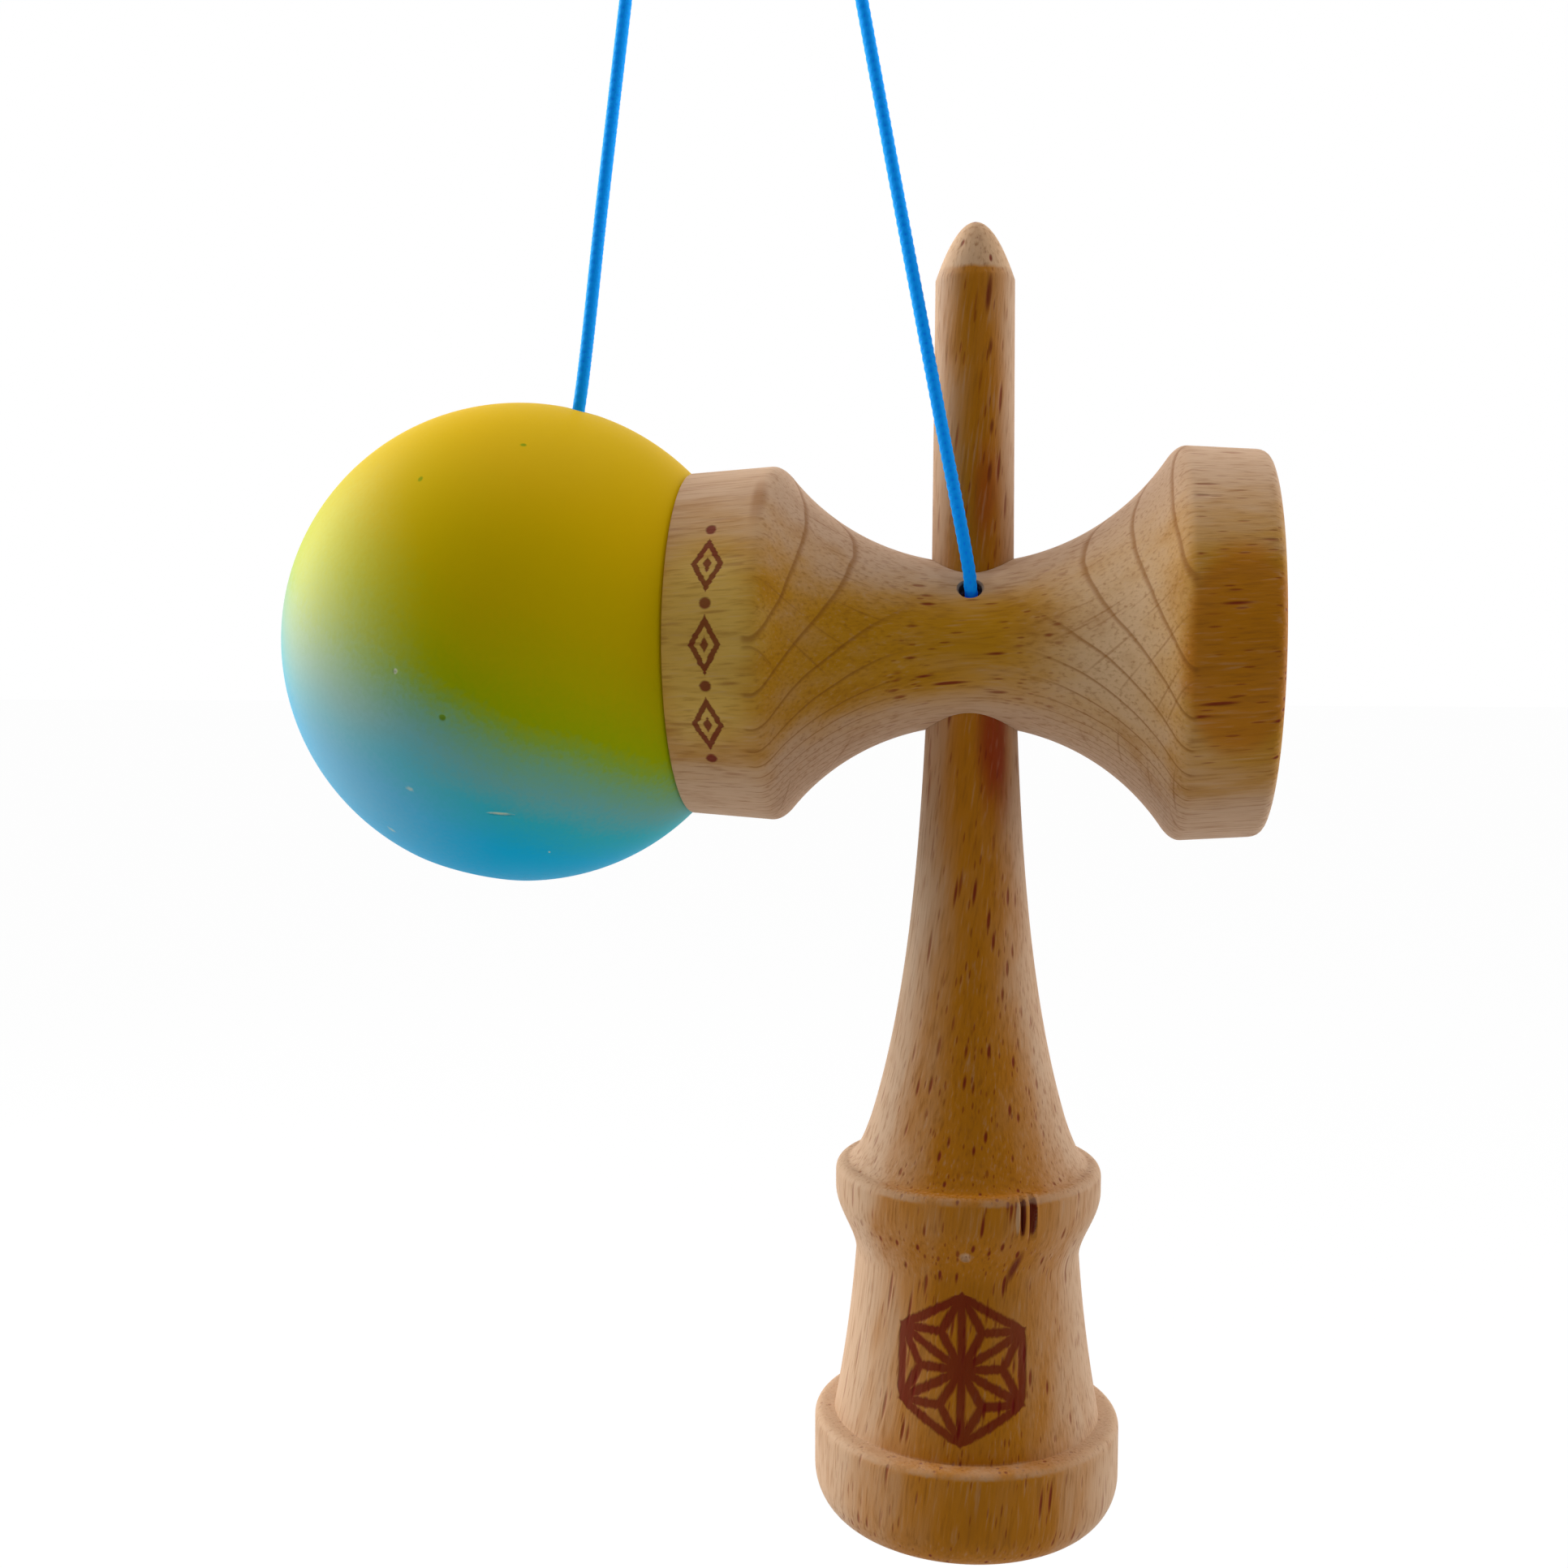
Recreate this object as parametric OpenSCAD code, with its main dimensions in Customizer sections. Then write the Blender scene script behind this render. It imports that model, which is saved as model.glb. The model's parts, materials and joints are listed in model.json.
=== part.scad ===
// Kendama hung by its string: a turned ken, a cross-piece with two cups, and a painted tama on a cord.
// Millimetres, Z up, X towards the big cup. The origin is the middle of the loop that the string hangs by.

/* [Ken foot] */
// Height of the cross-piece's axis above the foot
grip_h = 109.5; // [100:0.1:118]
// Widest diameter of the foot ring
foot_d = 38.4; // [36:0.1:42]
// Height of the foot ring
foot_h = 12.6; // [11:0.1:15]
// Diameter of the flat rim that the ken stands on, outside
foot_rim_d = 29.8; // [28.4:0.1:32]
// Height over which the foot ring rounds in to its rim
foot_curve_h = 5.4; // [4:0.1:8]
// Rounding of the foot ring's upper edge
foot_edge_r = 1.3; // [0.5:0.1:2]
// Diameter of the cup in the foot, at its mouth
foot_cup_d = 27.2; // [22:0.1:27.6]
// Depth of the cup in the foot
foot_cup_depth = 6; // [5:0.1:9]

/* [Ken grip] */
// Diameter just above the foot ring
lower_d = 33.4; // [31:0.1:35]
// Diameter of the waist under the collar
waist_d = 28; // [25:0.1:30]
// Height of the waist
waist_h = 33.2; // [28:0.1:36]
// How far the grip's side bows in between the foot ring and the waist
grip_bow = 0.3; // [0:0.05:1]
// Diameter of the collar
collar_d = 33.2; // [31.4:0.1:36]
// Height of the collar's lower edge
collar_low = 41.5; // [39:0.1:42.8]
// Height of the collar's upper edge
collar_high = 45.2; // [44.8:0.1:48]
// Height of the rounding at the collar's upper edge
collar_edge_h = 1.9; // [0.5:0.1:1.9]
// Diameter at which the collar's rounding ends
shoulder_d = 29.2; // [28.6:0.1:31]
// Height of the cove from the shoulder up to the grip
cove_h = 2.2; // [1:0.1:4]
// Diameter of the grip at the shoulder's level
grip_d = 27.6; // [25:0.1:28.4]
// How fast the grip thins above the collar
grip_taper = 2.13; // [1.5:0.01:3.5]

/* [Ken spike] */
// Diameter of the ken at the lower end of its seat in the cross-piece
seat_d = 11.3; // [10.8:0.1:13]
// Diameter of the spike at its seat
spike_d = 10; // [9.6:0.1:10.6]
// Diameter of the spike under its tip
spike_top_d = 9.6; // [8.5:0.1:9.6]
// Length of the spike above the seat, with its tip
spike_h = 40.9; // [34:0.1:48]
// Length of the rounded tip
tip_h = 7; // [5:0.1:9]

/* [Cross-piece] */
// Diameter of the neck
neck_d = 20; // [18:0.1:23]
// Radius of the flare on the small cup's side
small_flare_r = 28.8; // [27:0.1:34]
// Diameter of the small cup at its widest
small_d = 44; // [41:0.1:46]
// Diameter of the small cup's rim
small_rim_d = 42.4; // [40:0.1:43.4]
// Distance of the small cup's rim from the ken's axis
small_len = 34.6; // [33:0.1:38]
// Rounding of the small cup's rim
small_rim_r = 0.15; // [0.1:0.01:0.2]
// Depth of the small cup behind the tama's seat
small_cup_depth = 8; // [7.4:0.1:9]
// Radius of the flare on the big cup's side
big_flare_r = 27.9; // [26:0.1:34]
// Diameter of the big cup at its widest
big_d = 47.6; // [44:0.1:50]
// Diameter of the big cup's rim
big_rim_d = 46.2; // [45.6:0.1:47]
// Distance of the big cup's rim from the ken's axis
big_len = 34.8; // [33:0.1:38]
// Diameter of the big cup's hollow at its mouth
big_cup_d = 41.6; // [38:0.1:42]
// Depth of the big cup
big_cup_depth = 9.5; // [9:0.1:12]
// Rounding of the big cup's rim
big_rim_r = 1.6; // [0.5:0.1:2]
// Rounding where a flare meets its cup
crease_r = 1.2; // [0.4:0.1:2]
// Gap between the ken's seat and the cross-piece
seat_clear = 0.1; // [0.05:0.01:0.2]
// Diameter of the string hole
cord_hole_d = 2.8; // [2.4:0.1:3.4]
// Angle of the string hole above the horizontal
cord_hole_angle = 42; // [30:1:55]

/* [Tama] */
// Diameter of the tama
tama_d = 60.4; // [56:0.1:64]
// Gap between the tama and the small cup
tama_clear = 0.25; // [0.1:0.05:0.5]
// Width of the small cup's rim outside the tama's seat
seat_land = 0.2; // [0.2:0.05:1]
// Width of the tama's seat in the small cup
seat_w = 2.6; // [1.5:0.1:4]
// Lean of the tama's own axis
tama_lean = 16; // [5:0.5:20]
// Direction that the tama's axis leans in, turned from the big cup's side
tama_turn = -14; // [-30:1:30]
// Diameter of the tama's main hole
hole_d = 19; // [17:0.1:20.4]
// Diameter of the main hole's bevel at the surface
bevel_d = 21.6; // [20.8:0.1:26]
// Height of the main hole's end above the tama's middle
hole_end = 3; // [0:0.1:5]
// Diameter of the bead's pocket
pocket_d = 10; // [9.6:0.1:12]
// Depth of the pocket for the bead and its knot
pocket_h = 12.5; // [12:0.1:15]
// Diameter of the tama's string hole
tama_cord_d = 3; // [2.6:0.1:4]
// Diameter of the string hole's bevel at the surface
tama_cord_bevel_d = 4.4; // [4.1:0.1:6]

/* [Bead and string] */
// Diameter of the bead
bead_d = 9; // [8:0.1:9.4]
// Height of the bead
bead_h = 7; // [6:0.1:7.2]
// Diameter of the bead's hole
bead_hole_d = 2.2; // [1.9:0.1:2.6]
// Gap between the bead and its pocket, and between a knot and what it bears on
bead_clear = 0.25; // [0.1:0.05:0.4]
// Diameter of the string
string_d = 1.5; // [1.2:0.1:1.8]
// Diameter of a knot
knot_d = 3.8; // [3.4:0.1:4]
// Gap round the knot in the ken
knot_clear = 0.4; // [0.2:0.05:0.6]

/* [Hidden] */
$fn = 96;

// Where the ken's axis crosses the cross-piece's axis, seen from the hang point
crossing = [30.4, 0, -130];

// Steps along an edge's rounding, a curve and a long curve of a turned outline
edge_steps = 4;
curve_steps = 8;
long_steps = 18;

// Heights on the ken, from its foot
seat_low = grip_h - neck_d / 2;
seat_high = grip_h + neck_d / 2;
tip_top = seat_high + spike_h;

// The tama's middle, measured from the crossing
seat_r = tama_d / 2 + tama_clear;
seat_edge_r = small_rim_d / 2 - seat_land;
seat_inner_r = seat_edge_r - seat_w;
tama_x = -small_len - sqrt(seat_r * seat_r - seat_edge_r * seat_edge_r);

// Points on the quadratic curve from a to b that leaves and arrives towards c
function bend(a, c, b, steps, first = 0) = [for (i = [first : steps]) let (t = i / steps)
    (1 - t) * (1 - t) * a + 2 * t * (1 - t) * c + t * t * b];

// A slope that starts and ends level
function ease(t) = t * t * (3 - 2 * t);

// Radius of the ball that a hollow of this mouth and depth is cut by
function hollow_r(mouth_d, depth) = (mouth_d * mouth_d / 4 + depth * depth) / (2 * depth);

// Distance along the cross-piece at which a flare has reached this diameter
function flare_x(flare_r, d) = let (rise = (d - neck_d) / 2) sqrt(flare_r * flare_r - pow(flare_r - rise, 2));

// Radius of a flare at a distance from the ken's axis
function flare_at(flare_r, x) = neck_d / 2 + flare_r - sqrt(flare_r * flare_r - x * x);

// Radius of the ken between the collar and its seat, at a share of the way up
function grip_at(t) = let (r0 = grip_d / 2, r1 = seat_d / 2, k = grip_taper)
    r1 + (r0 - r1) * (exp(-k * t) - exp(-k)) / (1 - exp(-k));

// Outline of the ken from the foot's rim to the spike's point, as radius and height
cove_t = cove_h / (seat_low - collar_high);
bow_r = (lower_d + waist_d) / 4 - 2 * grip_bow;
ken_outline = concat(
    [for (i = [0 : curve_steps]) let (a = 90 * i / curve_steps)
        [foot_rim_d / 2 + (foot_d - foot_rim_d) / 2 * sin(a), foot_curve_h * (1 - cos(a))]],
    bend([foot_d / 2, foot_h - foot_edge_r], [foot_d / 2, foot_h], [foot_d / 2 - foot_edge_r, foot_h],
         edge_steps),
    bend([lower_d / 2, foot_h], [bow_r, (foot_h + waist_h) / 2], [waist_d / 2, waist_h], curve_steps),
    [for (i = [1 : curve_steps]) let (t = i / curve_steps)
        [(waist_d + (collar_d - waist_d) * ease(t)) / 2, waist_h + (collar_low - waist_h) * t]],
    bend([collar_d / 2, collar_high - collar_edge_h], [collar_d / 2, collar_high],
         [shoulder_d / 2, collar_high], curve_steps),
    bend([shoulder_d / 2, collar_high], [grip_at(cove_t), collar_high],
         [grip_at(cove_t), collar_high + cove_h], edge_steps, 1),
    [for (i = [1 : long_steps]) let (t = cove_t + (1 - cove_t) * i / long_steps)
        [grip_at(t), collar_high + (seat_low - collar_high) * t]],
    [[spike_d / 2, seat_high]],
    [for (i = [0 : curve_steps]) let (t = 1 - i / curve_steps) [spike_top_d / 2 * t, tip_top - tip_h * t * t]]
);

// Outline of one side of the cross-piece from its neck to its rim, as distance and radius
function side_outline(flare_r, d, rim_d, len, rim_r) = let (
    corner = [flare_x(flare_r, d), d / 2],
    from_x = corner[0] - crease_r,
    rim = [len, rim_d / 2],
    band = (rim - corner) / norm(rim - corner))
    concat(
        [for (i = [0 : long_steps]) let (x = from_x * i / long_steps) [x, flare_at(flare_r, x)]],
        bend([from_x, flare_at(flare_r, from_x)], corner, corner + band * crease_r, edge_steps),
        bend(rim - band * rim_r, rim, rim - [0, rim_r], edge_steps));

// The string's middle line, from the ken over the hang point to the tama's knot
route = [
    [30.4, -5.9, -124.7], [30.5, -6.6, -124.1], [30.4, -7.3, -123], [30.3, -7.6, -121.7],
    [26, -6.3, -100], [21, -4.7, -75], [16.1, -3.2, -50], [11.1, -1.6, -25],
    [5.9, 0, 1.2], [4.8, 0, 3.6], [2.7, 0, 5.4], [0.1, 0, 6], [-2.5, 0, 5.4], [-4.7, 0, 3.8], [-6, 0, 0.7],
    [-9.2, -0.5, -25], [-12.3, -1, -50], [-15.4, -1.6, -75], [-18.6, -2.1, -100.9],
    [-20.5, -1.6, -108.8], [-22.1, -1, -115.1], [-24.6, -0.4, -124.1]
];
leg_end = 8;
bight_end = 14;
ball_leg_end = 18;
ring_step = 4;
ring_sides = 8;

// Unit vector
function unit(v) = v / norm(v);

// Direction of the string at one point of its route
function heading(i) = unit(route[min(i + 1, len(route) - 1)] - route[max(i - 1, 0)]);

// Middles and directions of the rings from one route point to another
function rings(first, last) = concat(
    [for (i = [first : last - 1]) let (n = ceil(norm(route[i + 1] - route[i]) / ring_step))
        each [for (k = [0 : n - 1]) [route[i] + (route[i + 1] - route[i]) * k / n,
                                     k == 0 ? heading(i) : unit(route[i + 1] - route[i])]]],
    [[route[last], heading(last)]]);

// A round cord along part of the route
module cord(first, last) {
    list = rings(first, last);
    count = len(list);
    points = [for (ring = list) let (u = unit(cross(ring[1], [0, 1, 0])), v = cross(ring[1], u))
        each [for (k = [0 : ring_sides - 1]) let (a = 360 * k / ring_sides)
            ring[0] + string_d / 2 * (cos(a) * u + sin(a) * v)]];
    sides = [for (i = [0 : count - 2]) each [for (k = [0 : ring_sides - 1])
        let (a = i * ring_sides + k, b = i * ring_sides + (k + 1) % ring_sides)
        each [[a, a + ring_sides, b], [b, a + ring_sides, b + ring_sides]]]];
    start = [for (k = [1 : ring_sides - 2]) [0, k, k + 1]];
    base = (count - 1) * ring_sides;
    end = [for (k = [1 : ring_sides - 2]) [base, base + k + 1, base + k]];
    polyhedron(points, concat(sides, start, end));
}

// The string hole's direction: its children's +Z points out of the cross-piece's front
module along_cord_hole() {
    translate(crossing) rotate([90 - cord_hole_angle, 0, 0]) children();
}

// The tama's own axis: its children's +Z points out of the tama's string hole
module along_tama() {
    translate(crossing + [tama_x, 0, 0]) rotate([0, tama_lean, tama_turn]) children();
}

// Where the knot lies in the ken, behind the ken's axis
knot_depth = ((seat_d + spike_d) / 4 - knot_d / 2) / cos(cord_hole_angle) - knot_clear;

module ken() {
    cup_r = hollow_r(foot_cup_d, foot_cup_depth);
    recess_floor = knot_depth - knot_d / 2 - knot_clear;
    color("burlywood") difference() {
        translate(crossing - [0, 0, grip_h]) difference() {
            rotate_extrude() polygon(concat([[0, 0]], ken_outline));
            translate([0, 0, foot_cup_depth - cup_r]) sphere(r = cup_r);
        }
        along_cord_hole() {
            translate([0, 0, -seat_d]) cylinder(d = cord_hole_d, h = 2 * seat_d);
            translate([0, 0, -recess_floor - seat_d]) cylinder(d = knot_d + 2 * knot_clear, h = seat_d);
        }
    }
}

module sarado() {
    small_mouth_x = -tama_x - sqrt(seat_r * seat_r - seat_inner_r * seat_inner_r);
    small_r = hollow_r(2 * seat_inner_r, small_cup_depth);
    big_r = hollow_r(big_cup_d, big_cup_depth);
    small_side = side_outline(small_flare_r, small_d, small_rim_d, small_len, small_rim_r);
    big_side = side_outline(big_flare_r, big_d, big_rim_d, big_len, big_rim_r);
    outline = concat([for (i = [len(small_side) - 1 : -1 : 1]) [small_side[i][1], -small_side[i][0]]],
                     [for (p = big_side) [p[1], p[0]]]);
    color("tan") difference() {
        translate(crossing) difference() {
            rotate([0, 90, 0]) difference() {
                rotate_extrude() polygon(concat([[0, -small_len]], outline, [[0, big_len]]));
                translate([0, 0, tama_x]) sphere(r = seat_r);
                translate([0, 0, small_cup_depth - small_mouth_x - small_r]) sphere(r = small_r);
                translate([0, 0, big_len - big_cup_depth + big_r]) sphere(r = big_r);
            }
            translate([0, 0, -neck_d]) cylinder(d = seat_d + 2 * seat_clear, h = neck_d / 2);
            translate([0, 0, -neck_d / 2])
                cylinder(d1 = seat_d + 2 * seat_clear, d2 = spike_d + 2 * seat_clear, h = neck_d);
            translate([0, 0, neck_d / 2]) cylinder(d = spike_d + 2 * seat_clear, h = neck_d / 2);
        }
        along_cord_hole() cylinder(d = cord_hole_d, h = neck_d);
    }
}

module tama() {
    r = tama_d / 2;
    bevel_z = -sqrt(r * r - bevel_d * bevel_d / 4);
    bevel_h = (bevel_d - hole_d) / 2;
    cord_bevel_z = sqrt(r * r - tama_cord_bevel_d * tama_cord_bevel_d / 4);
    cord_bevel_h = (tama_cord_bevel_d - tama_cord_d) / 2;
    color("yellowgreen") along_tama() difference() {
        sphere(d = tama_d);
        translate([0, 0, -tama_d]) cylinder(d = hole_d, h = tama_d + hole_end);
        translate([0, 0, bevel_z]) cylinder(d1 = bevel_d, d2 = hole_d, h = bevel_h);
        translate([0, 0, -tama_d]) cylinder(d = bevel_d, h = tama_d + bevel_z);
        cylinder(d = pocket_d, h = hole_end + pocket_h);
        cylinder(d = tama_cord_d, h = tama_d);
        translate([0, 0, cord_bevel_z - cord_bevel_h])
            cylinder(d1 = tama_cord_d, d2 = tama_cord_bevel_d, h = cord_bevel_h);
        translate([0, 0, cord_bevel_z]) cylinder(d = tama_cord_bevel_d, h = r);
    }
}

module bead() {
    top = hole_end + pocket_h - bead_clear;
    color("peru") along_tama() translate([0, 0, top - bead_h / 2]) difference() {
        intersection() {
            sphere(d = bead_d);
            translate([0, 0, -bead_h / 2]) cylinder(d = 2 * bead_d, h = bead_h);
        }
        translate([0, 0, -bead_h]) cylinder(d = bead_hole_d, h = 2 * bead_h);
    }
}

module string_in_ken() {
    tail = seat_d / 2 / cos(cord_hole_angle) - string_d;
    color("deepskyblue") along_cord_hole() {
        translate([0, 0, -knot_depth]) cylinder(d = string_d, h = knot_depth + tail);
        translate([0, 0, -knot_depth]) sphere(d = knot_d);
    }
}

module string_ken_leg() {
    color("deepskyblue") cord(0, leg_end);
}

module string_bight() {
    color("deepskyblue") cord(leg_end, bight_end);
}

module string_ball_leg() {
    color("deepskyblue") cord(bight_end, ball_leg_end);
}

module string_in_tama() {
    knot_z = hole_end + pocket_h - 2 * bead_clear - bead_h - knot_d / 2;
    color("deepskyblue") {
        cord(ball_leg_end, len(route) - 1);
        along_tama() translate([0, 0, knot_z]) sphere(d = knot_d);
    }
}

ken();
sarado();
tama();
bead();
string_in_ken();
string_ken_leg();
string_bight();
string_ball_leg();
string_in_tama();
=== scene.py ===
"""Kendama hung by its string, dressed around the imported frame.

The three turned pieces are spun from outlines by one Geometry Nodes tree, the string is laid along its route by
another, and every finish is procedural. Lengths are metres in the frame's own axes.
"""
from __future__ import annotations

import json
import logging
import math
from dataclasses import dataclass
from enum import Enum
from typing import Callable, ClassVar, Mapping, Optional, Sequence, Union

import bmesh
import bpy
import numpy as np
from mathutils import Matrix, Vector

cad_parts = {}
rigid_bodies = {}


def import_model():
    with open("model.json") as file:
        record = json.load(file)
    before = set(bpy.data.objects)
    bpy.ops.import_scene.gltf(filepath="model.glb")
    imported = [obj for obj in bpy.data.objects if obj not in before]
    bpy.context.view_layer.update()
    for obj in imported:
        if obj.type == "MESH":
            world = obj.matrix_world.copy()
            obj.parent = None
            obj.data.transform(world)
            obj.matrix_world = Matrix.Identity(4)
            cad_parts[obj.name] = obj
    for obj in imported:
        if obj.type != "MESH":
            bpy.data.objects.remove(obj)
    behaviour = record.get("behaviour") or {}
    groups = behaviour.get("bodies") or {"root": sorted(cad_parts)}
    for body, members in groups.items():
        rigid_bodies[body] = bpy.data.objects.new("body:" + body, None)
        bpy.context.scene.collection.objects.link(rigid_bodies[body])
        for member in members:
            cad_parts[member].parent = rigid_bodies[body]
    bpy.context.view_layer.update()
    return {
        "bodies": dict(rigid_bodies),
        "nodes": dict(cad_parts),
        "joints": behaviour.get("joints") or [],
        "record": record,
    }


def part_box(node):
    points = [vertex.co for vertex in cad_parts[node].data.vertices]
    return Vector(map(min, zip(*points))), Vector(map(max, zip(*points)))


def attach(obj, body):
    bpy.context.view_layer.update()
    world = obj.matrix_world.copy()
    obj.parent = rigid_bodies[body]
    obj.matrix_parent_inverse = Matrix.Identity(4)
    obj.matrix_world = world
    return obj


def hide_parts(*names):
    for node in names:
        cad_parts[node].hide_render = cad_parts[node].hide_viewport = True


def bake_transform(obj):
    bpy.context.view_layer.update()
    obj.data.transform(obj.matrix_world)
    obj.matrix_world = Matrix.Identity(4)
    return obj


LOG = logging.getLogger("kendama")
TURN = 2 * math.pi
MERGE_GAP = 1e-6
SHARP_TURN = math.radians(38.0)

Point = tuple[float, float, float]
Outline = list[tuple[float, float]]
Colour = tuple[float, float, float, float]
Value = Union["Signal", float, int]

UP: Point = (0.0, 0.0, 1.0)
WHITE: Colour = (1.0, 1.0, 1.0, 1.0)


def screen(red: int, green: int, blue: int) -> Colour:
    """Gives the linear colour of a screen colour.

    Args:
        red: Red from 0 to 255.
        green: Green from 0 to 255.
        blue: Blue from 0 to 255.

    Returns:
        Linear red, green, blue and a full alpha.
    """
    def linear(level: int) -> float:
        """Undoes the screen's curve for one channel."""
        share = level / 255
        return share / 12.92 if share <= 0.04045 else ((share + 0.055) / 1.055) ** 2.4

    return linear(red), linear(green), linear(blue), 1.0


class Signal:
    """An output socket of a sheet, with arithmetic that lays Math nodes."""

    def __init__(self, sheet: "Sheet", socket: bpy.types.NodeSocket) -> None:
        """Keeps the sheet and the socket."""
        self.sheet = sheet
        self.socket = socket

    def __add__(self, other: Value) -> "Signal":
        """Sum."""
        return self.sheet.math("ADD", self, other)

    def __radd__(self, other: Value) -> "Signal":
        """Sum, with this signal second."""
        return self.sheet.math("ADD", other, self)

    def __sub__(self, other: Value) -> "Signal":
        """Difference."""
        return self.sheet.math("SUBTRACT", self, other)

    def __rsub__(self, other: Value) -> "Signal":
        """Difference, with this signal second."""
        return self.sheet.math("SUBTRACT", other, self)

    def __mul__(self, other: Value) -> "Signal":
        """Product."""
        return self.sheet.math("MULTIPLY", self, other)

    def __rmul__(self, other: Value) -> "Signal":
        """Product, with this signal second."""
        return self.sheet.math("MULTIPLY", other, self)

    def __truediv__(self, other: Value) -> "Signal":
        """Quotient."""
        return self.sheet.math("DIVIDE", self, other)

    def __rtruediv__(self, other: Value) -> "Signal":
        """Quotient, with this signal second."""
        return self.sheet.math("DIVIDE", other, self)

    def __pow__(self, other: Value) -> "Signal":
        """Power."""
        return self.sheet.math("POWER", self, other)

    def __abs__(self) -> "Signal":
        """Size without sign."""
        return self.sheet.math("ABSOLUTE", self)

    def least(self, other: Value) -> "Signal":
        """The lesser of two values."""
        return self.sheet.math("MINIMUM", self, other)

    def most(self, other: Value) -> "Signal":
        """The greater of two values."""
        return self.sheet.math("MAXIMUM", self, other)

    def rise(self, low: float, high: float) -> "Signal":
        """Goes smoothly from 0 at low to 1 at high.

        Args:
            low: Value at which the result leaves 0.
            high: Value at which the result reaches 1.

        Returns:
            The eased share.
        """
        node = self.sheet.add("ShaderNodeMapRange", {"interpolation_type": "SMOOTHSTEP"},
                              {"Value": self, 1: low, 2: high})
        return self.sheet.out(node)

    def fall(self, low: float, high: float) -> "Signal":
        """Goes smoothly from 1 at low to 0 at high."""
        return 1 - self.rise(low, high)


class Sheet:
    """A node tree that nodes and values are laid on."""

    def __init__(self, tree: bpy.types.NodeTree) -> None:
        """Keeps the tree."""
        self.tree = tree

    def add(self, kind: str, settings: Optional[Mapping[str, object]] = None,
            inputs: Optional[Mapping[Union[str, int], object]] = None) -> bpy.types.Node:
        """Lays one node.

        Args:
            kind: The node's type.
            settings: The node's own properties, set first; "stops" fills a colour ramp, and "captures" gives a
                Capture Attribute node its item.
            inputs: Values or signals for its sockets, by name or number.

        Returns:
            The node.
        """
        node = self.tree.nodes.new(kind)
        for name, value in (settings or {}).items():
            if name == "stops":
                self._fill_ramp(node.color_ramp, value)
            elif name == "captures":
                node.capture_items.new(*value)
            else:
                setattr(node, name, value)
        for key, value in (inputs or {}).items():
            self.feed(node.inputs[key], value)
        return node

    def feed(self, socket: bpy.types.NodeSocket, value: object) -> None:
        """Links a signal to a socket, or sets the socket's own value.

        Args:
            socket: The input socket.
            value: The signal or the value.
        """
        if isinstance(value, Signal):
            self.tree.links.new(value.socket, socket)
        else:
            socket.default_value = value

    def out(self, node: bpy.types.Node, key: Union[str, int] = 0) -> Signal:
        """One output of a node, by name or number."""
        return Signal(self, node.outputs[key])

    def math(self, operation: str, *values: Value) -> Signal:
        """Lays one Math node on values or signals."""
        return self.out(self.add("ShaderNodeMath", {"operation": operation}, dict(enumerate(values))))

    def vector(self, operation: str, *values: object) -> Signal:
        """Lays one Vector Math node; a dot product or a length gives a number.

        Args:
            operation: The node's operation.
            values: Vectors or signals for its vector sockets.

        Returns:
            The resulting vector or number.
        """
        node = self.add("ShaderNodeVectorMath", {"operation": operation}, dict(enumerate(values)))
        return self.out(node, "Value" if operation in ("DOT_PRODUCT", "LENGTH") else "Vector")

    def join(self, across: Value, deep: Value, up: Value) -> Signal:
        """Makes a vector of three values."""
        return self.out(self.add("ShaderNodeCombineXYZ", None, {0: across, 1: deep, 2: up}))

    def split(self, vector: Signal) -> tuple[Signal, Signal, Signal]:
        """Gives the three values of a vector."""
        node = self.add("ShaderNodeSeparateXYZ", None, {0: vector})
        return self.out(node, "X"), self.out(node, "Y"), self.out(node, "Z")

    def tint(self, share: Value, first: object, second: object) -> Signal:
        """Mixes two colours.

        Args:
            share: How much of the second colour is taken.
            first: Colour or signal at 0.
            second: Colour or signal at 1.

        Returns:
            The mixed colour.
        """
        node = self.add("ShaderNodeMix", {"data_type": "RGBA"}, {0: share, 6: first, 7: second})
        return self.out(node, 2)

    def noise(self, place: Signal, scale: float, detail: float) -> Signal:
        """Noise from 0 to 1 at a place."""
        node = self.add("ShaderNodeTexNoise", None, {"Vector": place, "Scale": scale, "Detail": detail})
        return self.out(node, 0)

    @staticmethod
    def _fill_ramp(ramp: bpy.types.ColorRamp, stops: Sequence[tuple[float, Colour]]) -> None:
        """Sets a colour ramp's stops.

        Args:
            ramp: The ramp.
            stops: Place and colour of each stop.
        """
        for index, (share, colour) in enumerate(stops):
            stop = ramp.elements[index] if index < 2 else ramp.elements.new(share)
            stop.position = share
            stop.color = colour


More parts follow.
